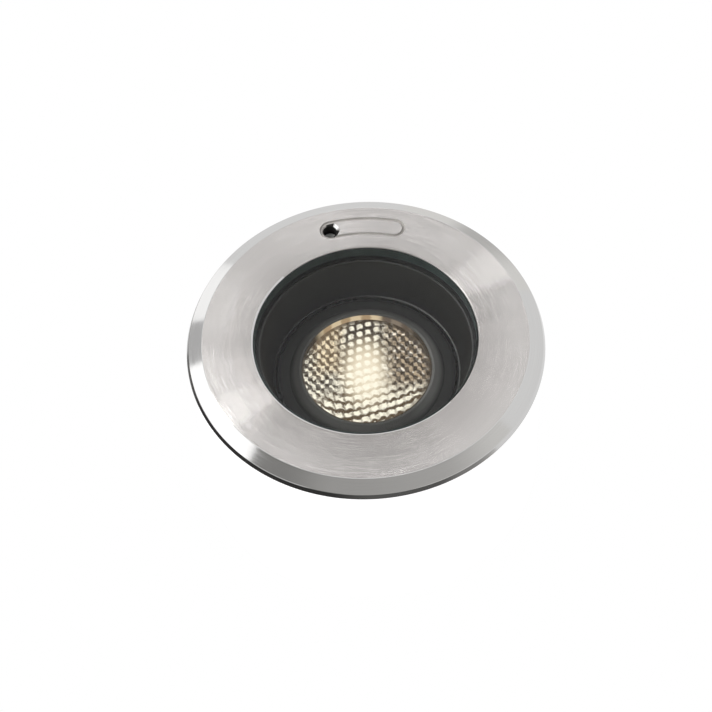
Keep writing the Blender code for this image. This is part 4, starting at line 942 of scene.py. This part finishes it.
def spring_leaf():
    """A strip drawn along the leaf's line, then given its thickness."""
    radius, foot = SPRING_LINE[0]
    bend = SPRING_LINE[1][1]
    start_clear()
    middle = (radius * MM, 0.0, (foot + bend) / 2 * MM)
    bpy.ops.mesh.primitive_plane_add(size=1.0, location=middle, rotation=(0.0, math.pi / 2, 0.0))
    leaf = bpy.context.object
    leaf.scale = ((bend - foot) * MM, SPRING_WIDTH * MM, 1.0)
    placed(leaf)
    pick(leaf, "VERT", lambda corner: corner.co.z > (bend - 0.5) * MM)
    for (from_radius, from_height), (to_radius, to_height) in zip(SPRING_LINE[1:], SPRING_LINE[2:]):
        step = ((to_radius - from_radius) * MM, 0.0, (to_height - from_height) * MM)
        bpy.ops.mesh.extrude_region_move(TRANSFORM_OT_translate={"value": step})
    bpy.ops.mesh.select_all(action="SELECT")
    bpy.ops.mesh.extrude_region_move(TRANSFORM_OT_translate={"value": (SPRING_THICKNESS * MM, 0.0, 0.0)})
    faces_outward()
    eased(leaf, 0.2)
    cut(leaf, drill(*LEAF_RIVET_BORE, (LEAF_MIDDLE * MM, 0.0, RIVET_HEIGHT * MM), outward=0.0))
    return leaf


def spring_rivet():
    rivet = turned("spring_rivet", RIVET_HEAD, SMALL_SIDES, ring=False)
    in_one(rivet, [drill(*RIVET_SHANK)])
    rivet.rotation_euler.y = math.pi / 2
    rivet.location = (RIVET_SEAT * MM, 0.0, RIVET_HEIGHT * MM)
    return placed(rivet)


def make_springs(finishes):
    for number, leaf in enumerate(repeated(spring_leaf(), SPRING_AZIMUTHS), 1):
        leaf.name = f"clamp_spring_fine_{number}"
        node = f"clamp_spring_{number}"
        finished(leaf, f"spring_{number}", "spring_steel", finishes, node, angle=MOULDED_ANGLE)
    for number, rivet in enumerate(repeated(spring_rivet(), SPRING_AZIMUTHS), 1):
        rivet.name = f"spring_rivet_fine_{number}"
        finished(rivet, BODY, "bright_steel", finishes, f"spring_rivet_{number}", angle=MOULDED_ANGLE)


def make_gasket(finishes):
    gasket = turned("lower_gasket_fine", LOWER_GASKET, ROUND_SIDES)
    finished(gasket, BODY, "black_rubber", finishes, "lower_glass_gasket")


def make_baffle(finishes):
    baffle = turned("baffle_fine", BAFFLE, ROUND_SIDES)
    eased(baffle, 0.25)
    finished(baffle, BODY, "black_coat", finishes, "baffle")


def make_bezel(finishes):
    bezel = turned("bezel_fine", BEZEL, ROUND_SIDES)
    eased(bezel, 0.2)
    finished(bezel, HEAD, "grey_coat", finishes, "bezel")


def lenslet():
    """One low dome, grown from a disc in steps."""
    start_clear()
    bpy.ops.mesh.primitive_circle_add(
        vertices=LENSLET_SIDES, radius=LENSLET_RADIUS * MM, fill_type="NGON",
    )
    dome = bpy.context.object
    bpy.ops.object.mode_set(mode="EDIT")
    bpy.ops.mesh.select_all(action="SELECT")
    for rise, ratio in LENSLET_STEPS:
        bpy.ops.mesh.extrude_region_move(TRANSFORM_OT_translate={"value": (0.0, 0.0, rise * MM)})
        bpy.ops.transform.resize(value=(ratio, ratio, 1.0), center_override=(0.0, 0.0, 0.0))
    bpy.ops.object.mode_set(mode="OBJECT")
    return dome


def lenslet_places():
    rows = math.ceil(FIELD_RADIUS / ROW_SPACING)
    columns = math.ceil(2 * FIELD_RADIUS / CELL_PITCH)
    turn = Matrix.Rotation(ROW_AZIMUTH, 3, "Z")
    for row in range(-rows, rows + 1):
        for column in range(-columns, columns + 1):
            along = (column + ROW_SHIFT_SHARE * row) * CELL_PITCH
            place = turn @ Vector((along, row * ROW_SPACING, 0.0))
            if place.length + LENSLET_RADIUS < FIELD_RADIUS:
                yield place * MM


def make_lens(finishes):
    plate = turned("lens_fine", LENS_PLATE, ROUND_SIDES, ring=False)
    skirt = turned("lens_skirt", LENS_SKIRT, ROUND_SIDES)
    dome = lenslet()
    top = Vector((0.0, 0.0, LENS_PLATE[0][1] * MM))
    domes = []
    for place in lenslet_places():
        copy = copied(dome)
        copy.location = place + top
        domes.append(copy)
    bpy.data.objects.remove(dome)
    in_one(plate, domes + [skirt])
    finished(plate, HEAD, "lens", finishes, "lens", angle=MOULDED_ANGLE)


# Studio

def glowing(name, shade):
    finish = Finish(name, (0.0, 0.0, 0.0), 1.0, 0.0, specular_ior_level=0.0)
    finish.set(emission_color=(shade, shade, shade, 1.0), emission_strength=1.0)
    return finish.material


def shaded_card(name, first_shade, along, steps):
    """A card whose shade climbs in soft steps along one axis, each from one place to another, in metres."""
    finish = Finish(name, (0.0, 0.0, 0.0), 1.0, 0.0, specular_ior_level=0.0)
    way = finish.axes()["XYZ".index(along)]
    shade = first_shade
    for start, end, added in steps:
        shade = finish.step(way, start / MM, end / MM, 0.0, added) + shade
    finish.set(emission_color=finish.scaled(WARM_WHITE, shade), emission_strength=1.0)
    return finish.material


def card(name, place, size, facing, shade, turn=0.0):
    """A studio card that is only seen in what shines. Its shade is a number or a material."""
    start_clear()
    bpy.ops.mesh.primitive_plane_add(size=1.0, location=place, rotation=FACING[facing])
    thing = bpy.context.object
    thing.name = name
    thing.scale = (*size, 1.0)
    thing.rotation_euler.z = turn
    placed(thing)
    thing.data.materials.append(glowing(name, shade) if isinstance(shade, float) else shade)
    thing.visible_camera = False
    thing.visible_diffuse = False
    thing.visible_transmission = False
    thing.visible_shadow = False


def make_cards():
    """Cards over, beside, below and behind the light, each with the steps of its shade."""
    over_steps = [(-1.0, -0.40, 0.17), (-0.40, 1.0, 0.08), (0.75, 1.6, 0.30)]
    over = shaded_card("top_card", 0.33, "X", over_steps)
    card("top_card", (0.4, -2.3, 1.5), (4.0, 4.4), "up", over)
    card("left_box", (-1.0, 0.05, 0.625), (0.85, 1.0), "aside", 1.85)
    card("fan_strip", (-0.64, 0.695, 1.5), (0.80, 0.25), "up", 6.0, math.radians(28))
    card("left_gap", (-1.0, 0.755, 0.7), (1.0, 0.39), "aside", 0.68)
    card("left_far_box", (-1.0, 1.43, 0.55), (0.9, 0.94), "aside", 1.5)
    low_steps = [(-0.4, 0.0, 0.09), (0.6, 1.1, 0.17), (1.1, 2.5, 0.35), (2.5, 3.1, 0.4)]
    low = shaded_card("low_card", 0.05, "X", low_steps)
    card("low_card", (0.95, -1.0, -0.45), (4.5, 1.34), "forward", low)
    low_side = shaded_card("low_side_card", 0.05, "Y", [(0.3, 1.0, 0.28)])
    card("low_side_card", (-1.3, 0.30, -0.75), (1.7, 2.8), "aside", low_side)
    behind = shaded_card("back_card", 1.0, "X", [(0.42, 0.58, -0.30), (0.66, 1.05, 0.30)])
    card("back_card", (0.75, 1.5, 0.1), (1.1, 0.8), "forward", behind)


def board_shape():
    """A disc under the ring, drawn out towards the front, thickened, and cut out round the barrel."""
    start_clear()
    bpy.ops.mesh.primitive_circle_add(
        vertices=128, radius=BOARD_OUTER * MM, fill_type="NGON", location=(0.0, 0.0, -0.05 * MM),
    )
    board = placed(bpy.context.object)
    board.name = "board"
    pick(board, "VERT", lambda corner: corner.co.y < -0.1 * MM)
    ratio = BOARD_INNER / BOARD_OUTER
    bpy.ops.transform.resize(value=(ratio, ratio, 1.0), center_override=(0.0, 0.0, 0.0))
    bpy.ops.transform.translate(value=(0.0, -BOARD_FRONT * MM, 0.0))
    bpy.ops.mesh.select_all(action="SELECT")
    bpy.ops.mesh.extrude_region_move(TRANSFORM_OT_translate={"value": (0.0, 0.0, -BOARD_THICKNESS * MM)})
    under_middle = (0.0, -BOARD_FRONT / 2 * MM, 0.0)
    bpy.ops.transform.resize(value=(0.985, 0.985, 1.0), center_override=under_middle)
    faces_outward()
    cut(board, drill(BOARD_INNER, -20.0, 20.0, sides=128))
    return board


def make_board():
    """The pale board that the light is set in. Its top glows, to be as white as what is behind it."""
    board = board_shape()
    top = Finish("board_top", (0.35, 0.35, 0.35), 0.9, 0.0, specular_ior_level=0.0)
    top.set(emission_color=(1.0, 1.0, 1.0, 1.0), emission_strength=0.85)
    side = Finish("board_side", (0.72, 0.72, 0.71), 0.8, 0.0)
    board.data.materials.clear()
    board.data.materials.append(top.material)
    board.data.materials.append(side.material)
    for face in board.data.polygons:
        face.material_index = 0 if face.normal.z >= 0.9 else 1
    board.visible_glossy = False


def area_lamp(name, place, size, power):
    light = bpy.data.lights.new(name, "AREA")
    light.shape = "SQUARE"
    light.size = size
    light.energy = power
    lamp = bpy.data.objects.new(name, light)
    bpy.context.scene.collection.objects.link(lamp)
    lamp.location = place
    lamp.rotation_euler = (-Vector(place)).to_track_quat("-Z", "Y").to_euler()
    lamp.visible_camera = False
    lamp.visible_glossy = False


def make_world():
    """White to look at and in reflections, and a softer light on dull surfaces."""
    world = bpy.data.worlds.new("studio")
    bpy.context.scene.world = world
    world.use_nodes = True
    tree = world.node_tree
    background = tree.nodes["Background"]
    background.inputs["Color"].default_value = (1.0, 1.0, 1.0, 1.0)
    path = tree.nodes.new("ShaderNodeLightPath")
    seen = path.outputs["Is Camera Ray"]
    for name in ("Is Glossy Ray", "Is Transmission Ray"):
        added = tree.nodes.new("ShaderNodeMath")
        added.operation = "MAXIMUM"
        tree.links.new(seen, added.inputs[0])
        tree.links.new(path.outputs[name], added.inputs[1])
        seen = added.outputs[0]
    strength = tree.nodes.new("ShaderNodeMapRange")
    tree.links.new(seen, strength.inputs["Value"])
    strength.inputs["To Min"].default_value = SOFT_LIGHT
    tree.links.new(strength.outputs["Result"], background.inputs["Strength"])


def make_camera():
    distance, elevation, roll = 1.2335, math.radians(55.39), math.radians(-2.667)
    focal, centre_u, centre_v, picture = 2466.6, 365.46, 337.94, 712.0
    sensor = 36.0
    forward = Vector((0.0, math.cos(elevation), -math.sin(elevation)))
    side = Vector((1.0, 0.0, 0.0))
    up = side.cross(forward)
    right = side * math.cos(roll) + up * math.sin(roll)
    top = up * math.cos(roll) - side * math.sin(roll)
    data = bpy.data.cameras.new("camera")
    data.sensor_width = sensor
    data.lens = focal / picture * sensor
    data.shift_x = (picture / 2 - centre_u) / picture
    data.shift_y = (centre_v - picture / 2) / picture
    camera = bpy.data.objects.new("camera", data)
    bpy.context.scene.collection.objects.link(camera)
    place = -forward * distance + Vector((0.0, 0.0, RING_TOP * MM))
    columns = Matrix((right, top, -forward)).transposed().to_4x4()
    camera.matrix_world = Matrix.Translation(place) @ columns
    bpy.context.scene.camera = camera


def dress_nodes(finishes):
    """Gives every node its slot's finish. What hangs the lamp head is darkened almost to black: painted
    shade.
    """
    for name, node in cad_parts.items():
        for slot in node.material_slots:
            if name.startswith(("bracket_", "pivot_")):
                slot.material = finishes["blackened_steel"]
            elif slot.material:
                slot.material = finishes[slot.material.name.split(".")[0].replace(" ", "_")]


def make_scene():
    finishes = made_finishes()
    dress_nodes(finishes)
    make_trim_ring(finishes)
    make_glass(finishes)
    make_gasket(finishes)
    make_baffle(finishes)
    make_bezel(finishes)
    make_lens(finishes)
    make_housing(finishes)
    make_rear_cover(finishes)
    make_cover_screws(finishes)
    make_adjusting_screw()
    make_gland(finishes)
    make_springs(finishes)
    make_board()
    make_cards()
    area_lamp("key", (-0.9, 0.15, 0.85), 0.7, 12.0)
    make_world()
    make_camera()
    bpy.context.scene.view_settings.view_transform = "Standard"


make_scene()
